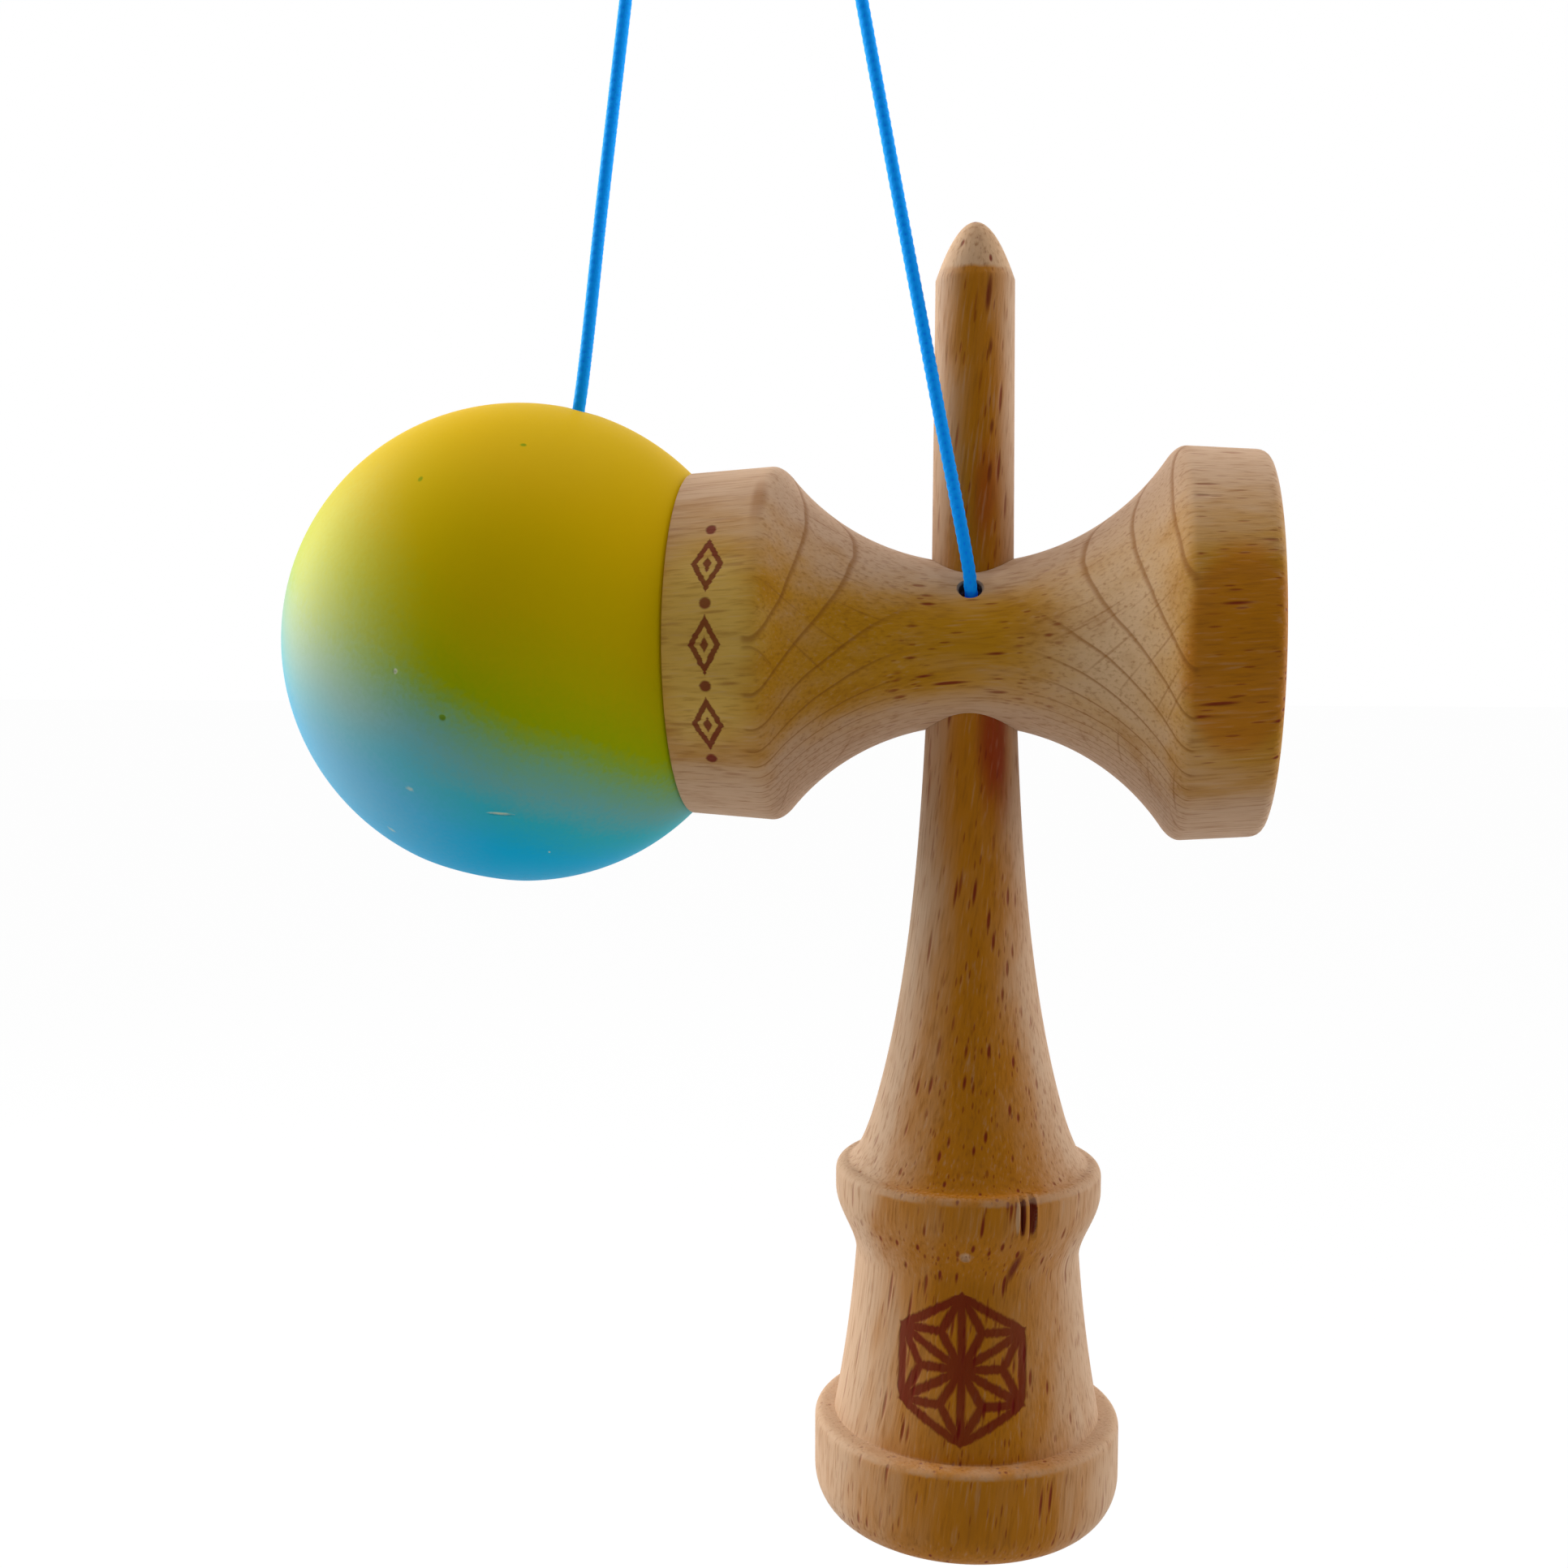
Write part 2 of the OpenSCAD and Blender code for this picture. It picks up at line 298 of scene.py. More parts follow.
class NodeTool:
    """A Geometry Nodes tree with named inputs, which makes plain meshes."""

    def __init__(self, name: str, sizes: Mapping[str, str]) -> None:
        """Makes the tree and its sockets.

        Args:
            name: The tree's name.
            sizes: Socket types of the named inputs.
        """
        self.group = bpy.data.node_groups.new(name, "GeometryNodeTree")
        self.sheet = Sheet(self.group)
        face = self.group.interface
        face.new_socket("Geometry", in_out="INPUT", socket_type="NodeSocketGeometry")
        self.keys = {key: face.new_socket(key, in_out="INPUT", socket_type=kind).identifier
                     for key, kind in sizes.items()}
        face.new_socket("Geometry", in_out="OUTPUT", socket_type="NodeSocketGeometry")
        self.source = self.sheet.add("NodeGroupInput")

    def value(self, name: str) -> Signal:
        """One of the tree's inputs."""
        return self.sheet.out(self.source, name)

    def close(self, shape: Signal) -> None:
        """Ends the tree in Realize Instances and Set Material.

        Args:
            shape: The finished geometry.
        """
        real = self.sheet.add("GeometryNodeRealizeInstances", None, {"Geometry": shape})
        dressed = self.sheet.add("GeometryNodeSetMaterial", None,
                                 {"Geometry": self.sheet.out(real), "Material": self.value("Finish")})
        self.sheet.add("NodeGroupOutput", None, {0: self.sheet.out(dressed)})

    def make(self, name: str, points: Sequence[Sequence[float]], loop: bool,
             sizes: Mapping[str, object]) -> bpy.types.Object:
        """Runs the tree on a line of points and keeps the result as a plain mesh.

        Args:
            name: Name of the new piece.
            points: The line's points.
            loop: Whether the line's end joins its start.
            sizes: Values of the tree's named inputs.

        Returns:
            The piece, with no modifier left on it.
        """
        links = [(i, i + 1) for i in range(len(points) - 1)]
        if loop:
            links.append((len(points) - 1, 0))
        mesh = bpy.data.meshes.new(name)
        mesh.from_pydata([tuple(p) for p in points], links, [])
        piece = bpy.data.objects.new(name, mesh)
        bpy.context.scene.collection.objects.link(piece)
        modifier = piece.modifiers.new(self.group.name, "NODES")
        modifier.node_group = self.group
        for key, value in sizes.items():
            modifier[self.keys[key]] = value
        settle(piece)
        return piece


def settle(piece: bpy.types.Object) -> None:
    """Turns an object's evaluated shape into its own plain mesh and drops its modifiers.

    Args:
        piece: The object.
    """
    graph = bpy.context.evaluated_depsgraph_get()
    mesh = bpy.data.meshes.new_from_object(piece.evaluated_get(graph), preserve_all_data_layers=True,
                                           depsgraph=graph)
    old = piece.data
    piece.modifiers.clear()
    piece.data = mesh
    mesh.name = piece.name
    bpy.data.meshes.remove(old)


class Lathe(NodeTool):
    """Spins an outline of radius and height round the Z axis."""

    def __init__(self) -> None:
        """Lays the tree: a grid of outline points by segments, wrapped round the axis and welded."""
        super().__init__("Lathe", {"Segments": "NodeSocketInt", "Finish": "NodeSocketMaterial"})
        sheet = self.sheet
        outline = self.value("Geometry")
        count = sheet.out(sheet.add("GeometryNodeAttributeDomainSize", None, {0: outline}), "Point Count")
        columns = self.value("Segments") + 1
        grid = sheet.add("GeometryNodeMeshGrid", None, {"Vertices X": count, "Vertices Y": columns})
        index = sheet.out(sheet.add("GeometryNodeInputIndex"))
        row = sheet.math("FLOOR", (index + 0.5) / columns)
        angle = (index - row * columns) * TURN / self.value("Segments")
        place = sheet.out(sheet.add("GeometryNodeInputPosition"))
        sampled = sheet.add("GeometryNodeSampleIndex", {"data_type": "FLOAT_VECTOR", "clamp": True},
                            {"Geometry": outline, "Value": place, "Index": row})
        radius, _, height = sheet.split(sheet.out(sampled))
        wrapped = sheet.join(radius * sheet.math("COSINE", angle), radius * sheet.math("SINE", angle), height)
        moved = sheet.add("GeometryNodeSetPosition", None, {"Geometry": sheet.out(grid), "Position": wrapped})
        welded = sheet.add("GeometryNodeMergeByDistance", None,
                           {"Geometry": sheet.out(moved), "Distance": MERGE_GAP})
        smooth = sheet.add("GeometryNodeSetShadeSmooth", None, {"Geometry": sheet.out(welded)})
        self.close(sheet.out(smooth))

    def spin(self, name: str, outline: Outline, segments: int, finish: bpy.types.Material, place: Matrix,
             loop: bool = False) -> bpy.types.Object:
        """Makes a turned piece.

        Args:
            name: Name of the piece.
            outline: Radius and height of each point.
            segments: Faces round the axis.
            finish: The piece's material.
            place: Where the axis stands in the frame.
            loop: Whether the outline's end joins its start, as on a piece with a hole right through.

        Returns:
            The turned piece, closed, with its faces outwards.
        """
        points = [(radius, 0.0, height) for radius, height in outline]
        if loop:
            points.append(points[0])
        piece = self.make(name, points, False, {"Segments": segments, "Finish": finish})
        piece.data.transform(place)
        face_outwards(piece.data)
        return piece


def face_outwards(mesh: bpy.types.Mesh) -> None:
    """Welds doubles, drops empty faces and turns a closed mesh's faces outwards.

    Args:
        mesh: The mesh.
    """
    work = bmesh.new()
    work.from_mesh(mesh)
    bmesh.ops.remove_doubles(work, verts=work.verts, dist=MERGE_GAP)
    bmesh.ops.dissolve_degenerate(work, edges=work.edges, dist=MERGE_GAP)
    bmesh.ops.recalc_face_normals(work, faces=work.faces)
    work.to_mesh(mesh)
    work.free()
    mesh.update()


def cut(piece: bpy.types.Object, cutter: bpy.types.Object) -> None:
    """Takes one closed piece out of another and deletes the cutter.

    Args:
        piece: The piece that is cut.
        cutter: The piece that is taken out of it.
    """
    modifier = piece.modifiers.new("cut", "BOOLEAN")
    modifier.operation = "DIFFERENCE"
    modifier.solver = "MANIFOLD"
    modifier.object = cutter
    settle(piece)
    old = cutter.data
    bpy.data.objects.remove(cutter)
    bpy.data.meshes.remove(old)


def crisp(piece: bpy.types.Object) -> None:
    """Shades a piece smooth but for the edges that turn sharply.

    Args:
        piece: The piece.
    """
    work = bmesh.new()
    work.from_mesh(piece.data)
    for face in work.faces:
        face.smooth = True
    for edge in work.edges:
        edge.smooth = len(edge.link_faces) == 2 and edge.calc_face_angle(0.0) < SHARP_TURN
    work.to_mesh(piece.data)
    work.free()


def bend(start: Sequence[float], towards: Sequence[float], end: Sequence[float], steps: int) -> Outline:
    """Points on the quadratic curve between two points.

    Args:
        start: First point.
        towards: Point that the curve leaves and arrives towards.
        end: Last point.
        steps: Number of stretches.

    Returns:
        The points, with both ends.
    """
    a, c, b = (np.array(p, float) for p in (start, towards, end))
    shares = np.linspace(0, 1, steps + 1)
    return [tuple((1 - t) ** 2 * a + 2 * t * (1 - t) * c + t * t * b) for t in shares]


def arc_hollow(mouth: float, depth: float, steps: int) -> Outline:
    """Half section of a round hollow, from its deepest point to its mouth.

    Args:
        mouth: Diameter at the mouth.
        depth: Depth in the middle.
        steps: Number of stretches.

    Returns:
        Radius and depth below the mouth of each point.
    """
    ball = (mouth * mouth / 4 + depth * depth) / (2 * depth)
    reach = math.asin(mouth / 2 / ball)
    angles = np.linspace(0, reach, steps + 1)
    return [(ball * math.sin(a), ball * math.cos(a) - (ball - depth)) for a in angles]


def spaced(outline: Outline, step: float) -> Outline:
    """Adds points so that neighbours are no further apart than a step, and drops doubles.

    Args:
        outline: The points to start from.
        step: Greatest distance between neighbours.

    Returns:
        The denser outline.
    """
    dense = [outline[0]]
    for (r0, z0), (r1, z1) in zip(outline, outline[1:]):
        length = math.hypot(r1 - r0, z1 - z0)
        if length < MERGE_GAP:
            continue
        count = max(1, math.ceil(length / step))
        dense += [(r0 + (r1 - r0) * i / count, z0 + (z1 - z0) * i / count) for i in range(1, count + 1)]
    return dense


@dataclass(frozen=True)
class Mark:
    """A small mark pressed or chipped into a surface.

    Attributes:
        place: Its middle, on the surface.
        along: Direction of its length.
        length: Its length.
        width: Its width.
        depth: How deep it goes.
        lip: How far the material beside it stands up.
        LIP_REACH: Where that material is highest, in half widths from the mark's middle.
        LIP_SPREAD: How far it spreads from there, in half widths.
        CELLS: How many of the mesh's cells the width gets at least.
    """

    place: Point
    along: Point
    length: float
    width: float
    depth: float
    lip: float = 0.0
    LIP_REACH: ClassVar[float] = 1.5
    LIP_SPREAD: ClassVar[float] = 0.5
    CELLS: ClassVar[int] = 4

    def press(self, mesh: bpy.types.Mesh, surface: Callable[[Vector], Vector], cell: float) -> None:
        """Refines the mesh round the mark and moves its points.

        Args:
            mesh: The mesh to press.
            surface: Puts a new point back on the turned surface.
            cell: Distance between the mesh's points.
        """
        work = bmesh.new()
        work.from_mesh(mesh)
        work.normal_update()
        middle = Vector(self.place)
        reach = self.length / 2 + self.width + cell
        out = sum((v.normal for v in work.verts if (v.co - middle).length < reach), Vector()).normalized()
        along = (Vector(self.along) - out * out.dot(Vector(self.along))).normalized()
        side = out.cross(along)

        def near(vert: bmesh.types.BMVert) -> bool:
            """Whether a point lies in the box round the mark.

            Args:
                vert: The point.

            Returns:
                True inside the box.
            """
            gap = vert.co - middle
            in_length = abs(gap.dot(along)) < self.length / 2 + 2 * cell
            in_width = abs(gap.dot(side)) < self.LIP_REACH * self.width + 2 * cell
            return in_length and in_width and gap.length < 2 * reach

        edges = [edge for edge in work.edges
                 if edge.calc_length() > self.width / self.CELLS and all(near(vert) for vert in edge.verts)]
        cuts = max(1, round(self.CELLS * cell / self.width))
        added = bmesh.ops.subdivide_edges(work, edges=edges, cuts=cuts, use_grid_fill=True)["geom_inner"]
        for vert in added:
            if isinstance(vert, bmesh.types.BMVert):
                vert.co = surface(vert.co)
        for vert in filter(near, work.verts):
            gap = vert.co - middle
            u = 2 * gap.dot(along) / self.length
            w = 2 * gap.dot(side) / self.width
            dip = max(0.0, 1 - u ** 4) * max(0.0, 1 - w * w)
            swell = max(0.0, 1 - u * u) * math.exp(-((abs(w) - self.LIP_REACH) / self.LIP_SPREAD) ** 2)
            vert.co += out * (self.lip * swell - self.depth * dip)
        work.to_mesh(mesh)
        work.free()
        mesh.update()


class Grain(Enum):
    """Which way the fibres of a turned piece run."""

    UPRIGHT = "ken"
    LEVEL = "sarado"


@dataclass(frozen=True)
class Patch:
    """A soft-edged spot of another colour on a finish.

    Attributes:
        place: Its middle.
        along: Direction of its length.
        length: Its length.
        width: Its width across that direction.
        colour: Its colour.
        strength: How much of its colour shows.
        ragged: How much noise breaks its edge.
        edge: Share of its size at which it starts to fade.
    """

    place: Point
    along: Point
    length: float
    width: float
    colour: Colour
    strength: float
    ragged: float
    edge: float

    def lay(self, sheet: Sheet, place: Signal, base: Signal, grit: Signal) -> Signal:
        """Tints a colour with the spot.

        Args:
            sheet: The material's sheet.
            place: Object coordinates.
            base: Colour so far.
            grit: Noise that breaks the edge.

        Returns:
            The colour with the spot on it.
        """
        gap = sheet.vector("SUBTRACT", place, self.place)
        along = Vector(self.along).normalized()
        run = sheet.vector("DOT_PRODUCT", gap, tuple(along))
        whole = sheet.vector("DOT_PRODUCT", gap, gap)
        across = sheet.math("SQRT", (whole - run * run).most(0.0)) * (2 / self.width)
        reach = sheet.math("SQRT", (run * (2 / self.length)) ** 2 + across * across)
        mask = (reach + (grit - 0.5) * (2 * self.ragged)).fall(self.edge, 1.0)
        return sheet.tint(mask * self.strength, base, self.colour)


class Finish:
    """A procedural material."""

    def __init__(self, name: str) -> None:
        """Makes an empty material that reads Object coordinates.

        Args:
            name: Its name.
        """
        self.material = bpy.data.materials.new(name)
        self.material.use_nodes = True
        self.material.node_tree.nodes.clear()
        self.sheet = Sheet(self.material.node_tree)
        self.place = self.sheet.out(self.sheet.add("ShaderNodeTexCoord"), "Object")

    def end(self, sockets: Mapping[str, object], height: Signal, depth: float) -> None:
        """Adds the relief, the shader and the output.

        Args:
            sockets: Values or signals for the Principled shader.
            height: Surface height from 0 to 1.
            depth: Depth of that relief.
        """
        bump = self.sheet.add("ShaderNodeBump", None, {"Strength": 1.0, "Distance": depth, "Height": height})
        inputs = {**sockets, "Normal": self.sheet.out(bump)}
        shader = self.sheet.add("ShaderNodeBsdfPrincipled", None, inputs)
        self.sheet.add("ShaderNodeOutputMaterial", None, {"Surface": self.sheet.out(shader)})


@dataclass(frozen=True)
class BeechTone:
    """Colours and figure of one piece of beech.

    Attributes:
        pale: Colour of the sides.
        gold: Golden, darker colour of the front, painted shade of the side away from the lamps.
        line: Colour of the growth rings and fibres.
        fleck: Colour of the flecks.
        gold_turn: Angle round the axis at which the painted front shade lies.
        gold_low: Share of facing that front at which the painted shade starts.
        ring_turn: Angle round the axis that the growth rings face.
        ring_gap: Distance between the inner growth rings.
        ring_growth: Distance over which the rings grow twice as wide.
        ring_strength: How much the rings show.
        pith: Distance over which the rings curve.
        slant: How far the flecks lean, as a slope.
        flare: Distances along the fibres between which the end grain shows, if it does.
        calm: Place along the fibres below which the flecks are faint, if they are.
        hollows: Distance along the fibres past which the cups are hollow, and the radius they stay inside, if
        they are kept free of the painted front shade.
        worn: Heights along the axis of edges that get a pale line, a painted highlight along the edge.
    """

    pale: Colour = screen(203, 167, 134)
    # Painted shade: the golden, darker colour of the front.
    gold: Colour = screen(189, 118, 6)
    line: Colour = screen(140, 84, 20)
    fleck: Colour = screen(120, 34, 10)
    gold_turn: float = 0.0
    gold_low: float = 0.12
    ring_turn: float = 0.0
    ring_gap: float = 0.0013
    ring_growth: float = 0.0076
    ring_strength: float = 0.62
    pith: float = 0.05
    slant: float = 0.0
    flare: Optional[tuple[float, float, float]] = None
    calm: Optional[float] = None
    hollows: Optional[tuple[float, float]] = None
    # Painted highlights: heights of the edges that get a pale line.
    worn: tuple[float, ...] = ()


@dataclass(frozen=True)
class Veil:
    """A thin layer of colour that shows where a noise is high, or where it is low.

    Attributes:
        low: Lower end of the noise's range.
        high: Upper end of the noise's range.
        share: How much of the colour shows at the most.
    """

    low: float
    high: float
    share: float

    def above(self, noise: Signal) -> Signal:
        """How much shows where the noise is high."""
        return noise.rise(self.low, self.high) * self.share

    def below(self, noise: Signal) -> Signal:
        """How much shows where the noise is low."""
        return noise.fall(self.low, self.high) * self.share


class Beech(Finish):
    """Bare turned beech, with rings, rays, fibres and flecks that run through the solid.

    Scales are cells in a metre, across and along the fibres. Sizes are distances between neighbouring grains in
    three directions, and shares are the parts of the places that hold a grain.
    """

    # Besides the wood's own figure, this finish paints shade on the front and highlights along given edges.
    DRIFT_SCALE, DRIFT_VEIL = (90.0, 28.0), Veil(0.35, 0.85, 0.14)
    MOTTLE_SCALE, MOTTLE_VEIL = (260.0, 70.0), Veil(0.5, 0.75, 0.22)
    FIBRE_SCALE = (2600.0, 2600.0 / 14.0)
    DARK_FIBRE, PALE_FIBRE = Veil(0.48, 0.78, 0.5), Veil(0.22, 0.46, 0.28)
    RAY_SIZE, RAY_SHARE, RAY_DEPTH = (0.018, 0.0006, 0.02), 0.6, 0.4
    FLECK_SIZE, FLECK_SHARE = (0.0011, 0.0011, 0.0125), 0.72
    FLECK_ON_PALE, FLECK_ON_GOLD = 0.38, 0.57
    DASH_SIZE, DASH_SHARE, DASH_DEPTH = (0.0006, 0.0006, 0.0042), 0.65, 0.6
    DASH_SHIFT = 0.5
    GRAIN_EDGE, GRAIN_FADE = (0.1, 0.28), 0.1
    GOLD_MOTTLE, GOLD_DRIFT = 0.7, 0.3
    CUP_EDGE, CUP_WALL = 0.0006, 0.0003
    CREASE_EDGE = 0.0008
    CALM_EDGE, CALM_LOSS = 0.001, 0.62
    RING_WAVER = 0.0012
    RING_START, RING_END = (0.84, 0.95), (0.965, 1.0)
    RING_ON_SIDE, RING_ON_END = 0.22, 0.78
    END_LOSS = 0.94
    RUB_WAVER, RUB_REACH, RUB_VEIL = 0.0005, (0.0002, 0.0006), Veil(0.3, 0.6, 0.55)
    BURN_LEAST, BURN_MOTTLE, BURN_DIP = 0.74, 0.25, 0.8
    LEVEL, FLECK_DIP, RING_DIP, FIBRE_RISE = 0.6, 0.5, 0.2, 0.7
    ROUGH, ROUGH_FIBRE, ROUGH_FLECK = 0.6, 0.2, 0.1
    RELIEF = 0.00008

    def __init__(self, name: str, grain: Grain, middle: Point, tone: BeechTone, patches: Sequence[Patch],
                 motif: "Motif") -> None:
        """Builds the material.

        Args:
            name: Its name.
            grain: Which way the fibres run.
            middle: A point on the piece's axis.
            tone: Its colours and figure.
            patches: Stains, rubbed places and painted light and shade.
            motif: The burnt ornament.
        """
        super().__init__(name)
        sheet = self.sheet
        x, y, z = sheet.split(sheet.vector("SUBTRACT", self.place, middle))
        along, side = (z, x) if grain is Grain.UPRIGHT else (x, z)
        front = y * -1
        radius = sheet.math("SQRT", side * side + y * y) + MERGE_GAP
        deep = self._facing(front, side, tone.ring_turn)
        flat = side * math.cos(tone.ring_turn) - front * math.sin(tone.ring_turn)
        lean = side - along * tone.slant

        drift = self._grown((side, y, along), self.DRIFT_SCALE, 3.0)
        mottle = self._grown((lean, y, along), self.MOTTLE_SCALE, 5.0)
        fibre = self._grown((lean, y, along), self.FIBRE_SCALE, 3.0)
        # Painted shade: the front, which faces away from the lamps, is tinted golden and darker.
        face = self._facing(front, side, tone.gold_turn) / radius
        handled = face * abs(face) + (mottle - 0.5) * self.GOLD_MOTTLE
        gold = (handled + (drift - 0.5) * self.GOLD_DRIFT).rise(tone.gold_low, 1.0)
        # The cups' hollows are kept free of the painted front shade.
        inside: Value = 0.0
        if tone.hollows is not None:
            start, reach = tone.hollows
            inside = abs(along).rise(start, start + self.CUP_EDGE) * radius.fall(reach - self.CUP_WALL, reach)
            gold = gold * (1 - inside)
        end: Value = 0.0
        if tone.flare is not None:
            low, high, crease = tone.flare
            end = abs(along).rise(low, high) * abs(along).fall(crease, crease + self.CREASE_EDGE)
        line = self._rings(deep, flat, drift, tone) * (self.RING_ON_SIDE + self.RING_ON_END * end)
        line = line * tone.ring_strength
        fleck = self._dashes((lean, y, along), self.FLECK_SIZE, self.FLECK_SHARE)
        dash = self._dashes((lean, y, along + self.DASH_SHIFT), self.DASH_SIZE, self.DASH_SHARE)
        streak = fleck.most(dash * self.DASH_DEPTH) * (1 - self.END_LOSS * end)
        if tone.calm is not None:
            streak = streak * (1 - self.CALM_LOSS * along.fall(tone.calm, tone.calm + self.CALM_EDGE))

        colour = sheet.tint(gold, tone.pale, tone.gold)
        for patch in patches:
            colour = patch.lay(sheet, self.place, colour, mottle)
        layers = [(inside, tone.pale)] if tone.hollows is not None else []
        layers += [(self.DRIFT_VEIL.above(drift), tone.line), (self.MOTTLE_VEIL.above(mottle), tone.line),
                   (self.DARK_FIBRE.above(fibre), tone.line), (self.PALE_FIBRE.below(fibre), tone.pale),
                   (line, tone.line)]
        if tone.flare is not None:
            ray = self._dashes((deep, flat, along), self.RAY_SIZE, self.RAY_SHARE)
            layers.append((ray * end * self.RAY_DEPTH, tone.line))
        layers.append((streak * (self.FLECK_ON_PALE + self.FLECK_ON_GOLD * gold), tone.fleck))
        # Painted highlights: pale lines along the edges at the given heights.
        for edge in tone.worn:
            rub = abs(along - edge + (fibre - 0.5) * self.RUB_WAVER).fall(*self.RUB_REACH)
            layers.append((rub * self.RUB_VEIL.above(mottle), tone.pale))
        burn = motif.mask(sheet, x, y, z, fibre)
        layers.append((burn * (self.BURN_LEAST + self.BURN_MOTTLE * mottle), motif.colour))
        for share, shade in layers:
            colour = sheet.tint(share, colour, shade)
        height = self.LEVEL - streak * self.FLECK_DIP - line * self.RING_DIP + (fibre - 0.5) * self.FIBRE_RISE
        rough = self.ROUGH + self.ROUGH_FIBRE * (fibre - 0.5) + self.ROUGH_FLECK * streak
        self.end({"Base Color": colour, "Roughness": rough, "Specular IOR Level": 0.12, "Sheen Weight": 0.05,
                  "Sheen Roughness": 0.3}, height - burn * self.BURN_DIP, self.RELIEF)

    @staticmethod
    def _facing(front: Signal, side: Signal, turn: float) -> Signal:
        """Distance along a direction that is turned from the front towards the side."""
        return front * math.cos(turn) + side * math.sin(turn)

    def _grown(self, spot: Sequence[Signal], scale: tuple[float, float], detail: float) -> Signal:
        """Noise that is drawn out along the fibres.

        Args:
            spot: Two distances across the fibres and one along them.
            scale: Cells in a metre across and along.
            detail: How fine the noise is.

        Returns:
            The noise, from 0 to 1.
        """
        wide, long = scale
        place = self.sheet.join(spot[0] * wide, spot[1] * wide, spot[2] * long)
        return self.sheet.noise(place, 1.0, detail)

    def _rings(self, deep: Signal, flat: Signal, drift: Signal, tone: BeechTone) -> Signal:
        """Growth rings that grow wider outwards, each ending in a thin line.

        Args:
            deep: Distance across the rings.
            flat: Distance along the rings.
            drift: Noise that makes them waver.
            tone: The wood's figure.

        Returns:
            Mask of the lines.
        """
        ring = deep + flat * flat / (2 * tone.pith) + (drift - 0.5) * self.RING_WAVER
        outer = self.sheet.math("LOGARITHM", ring.most(0.0) / tone.ring_growth + 1, math.e)
        count = ring.least(0.0) / tone.ring_gap + outer * (tone.ring_growth / tone.ring_gap)
        phase = self.sheet.math("FRACT", count)
        return phase.rise(*self.RING_START) * phase.fall(*self.RING_END)

    def _dashes(self, spot: Sequence[Signal], size: Point, share: float) -> Signal:
        """Scattered thin grains, longer in one direction than in the others.

        Args:
            spot: Three distances.
            size: Distance between neighbours in each of the three directions.
            share: Share of the places that hold a grain.

        Returns:
            Mask of the grains.
        """
        sheet = self.sheet
        place = sheet.join(*(distance / gap for distance, gap in zip(spot, size)))
        cell = sheet.add("ShaderNodeTexVoronoi", {"feature": "F1"}, {"Vector": place, "Scale": 1.0})
        chance = sheet.out(sheet.add("ShaderNodeSeparateColor", None, {0: sheet.out(cell, "Color")}))
        grain = sheet.out(cell, "Distance").fall(*self.GRAIN_EDGE)
        return grain * chance.rise(1 - share, 1 - share + self.GRAIN_FADE)


@dataclass(frozen=True)
class Motif:
    """Base of the burnt ornaments.

    Attributes:
        middle: The ornament's middle, measured from the piece's axis.
        colour: Burnt colour.
        FRONT: Distances behind the axis between which an ornament ends, so that it is on the front alone.
    """

    middle: Point
    colour: Colour = screen(108, 6, 2)
    FRONT: ClassVar[tuple[float, float]] = (-0.002, 0.0)

    def mask(self, sheet: Sheet, x: Signal, y: Signal, z: Signal, grit: Signal) -> Signal:
        """Where the ornament is burnt in."""
        raise NotImplementedError


@dataclass(frozen=True)
class LeafStar(Motif):
    """The traditional six-fold hemp-leaf star, burnt into the grip.

    Attributes:
        reach: Distance from the star's middle to a point.
        stroke: Width of a line.
        EDGE: Shares of that width between which a line fades.
        GRIT: How far the noise moves a line's edge.
    """

    reach: float = 0.0086
    stroke: float = 0.001
    EDGE: ClassVar[tuple[float, float]] = (0.35, 0.75)
    GRIT: ClassVar[float] = 0.0006

    def mask(self, sheet: Sheet, x: Signal, y: Signal, z: Signal, grit: Signal) -> Signal:
        """Lines of one star, folded into a twelfth of it.

        Args:
            sheet: The material's sheet.
            x: Distance to the right of the axis.
            y: Distance behind the axis.
            z: Height above the piece's middle.
            grit: Noise that breaks the lines.

        Returns:
            Mask of the burnt lines.
        """
        third = math.pi / 3
        lean, drop = math.cos(third / 2), math.sin(third / 2)
        radius = sheet.math("SQRT", x * x + y * y)
        across = sheet.math("ARCTAN2", x - self.middle[0], y * -1) * radius
        up = z - self.middle[2]
        span = sheet.math("SQRT", across * across + up * up)
        share = sheet.math("FRACT", sheet.math("ARCTAN2", across, up) / third + 0.5)
        turn = abs(share - 0.5) * third
        run = span * sheet.math("COSINE", turn)
        spoke = span * sheet.math("SINE", turn)
        vein = span * sheet.math("SINE", third / 2 - turn) + (span - self.reach / math.sqrt(3)).most(0.0)
        leaf = abs((run - self.reach) * drop + spoke * lean)
        rim = abs(run * lean + spoke * drop - self.reach * lean)
        near = spoke.least(vein).least(leaf).least(rim) + (span - self.reach).most(0.0)
        thin, thick = (part * self.stroke for part in self.EDGE)
        return (near + (grit - 0.5) * self.GRIT).fall(thin, thick) * y.fall(*self.FRONT)


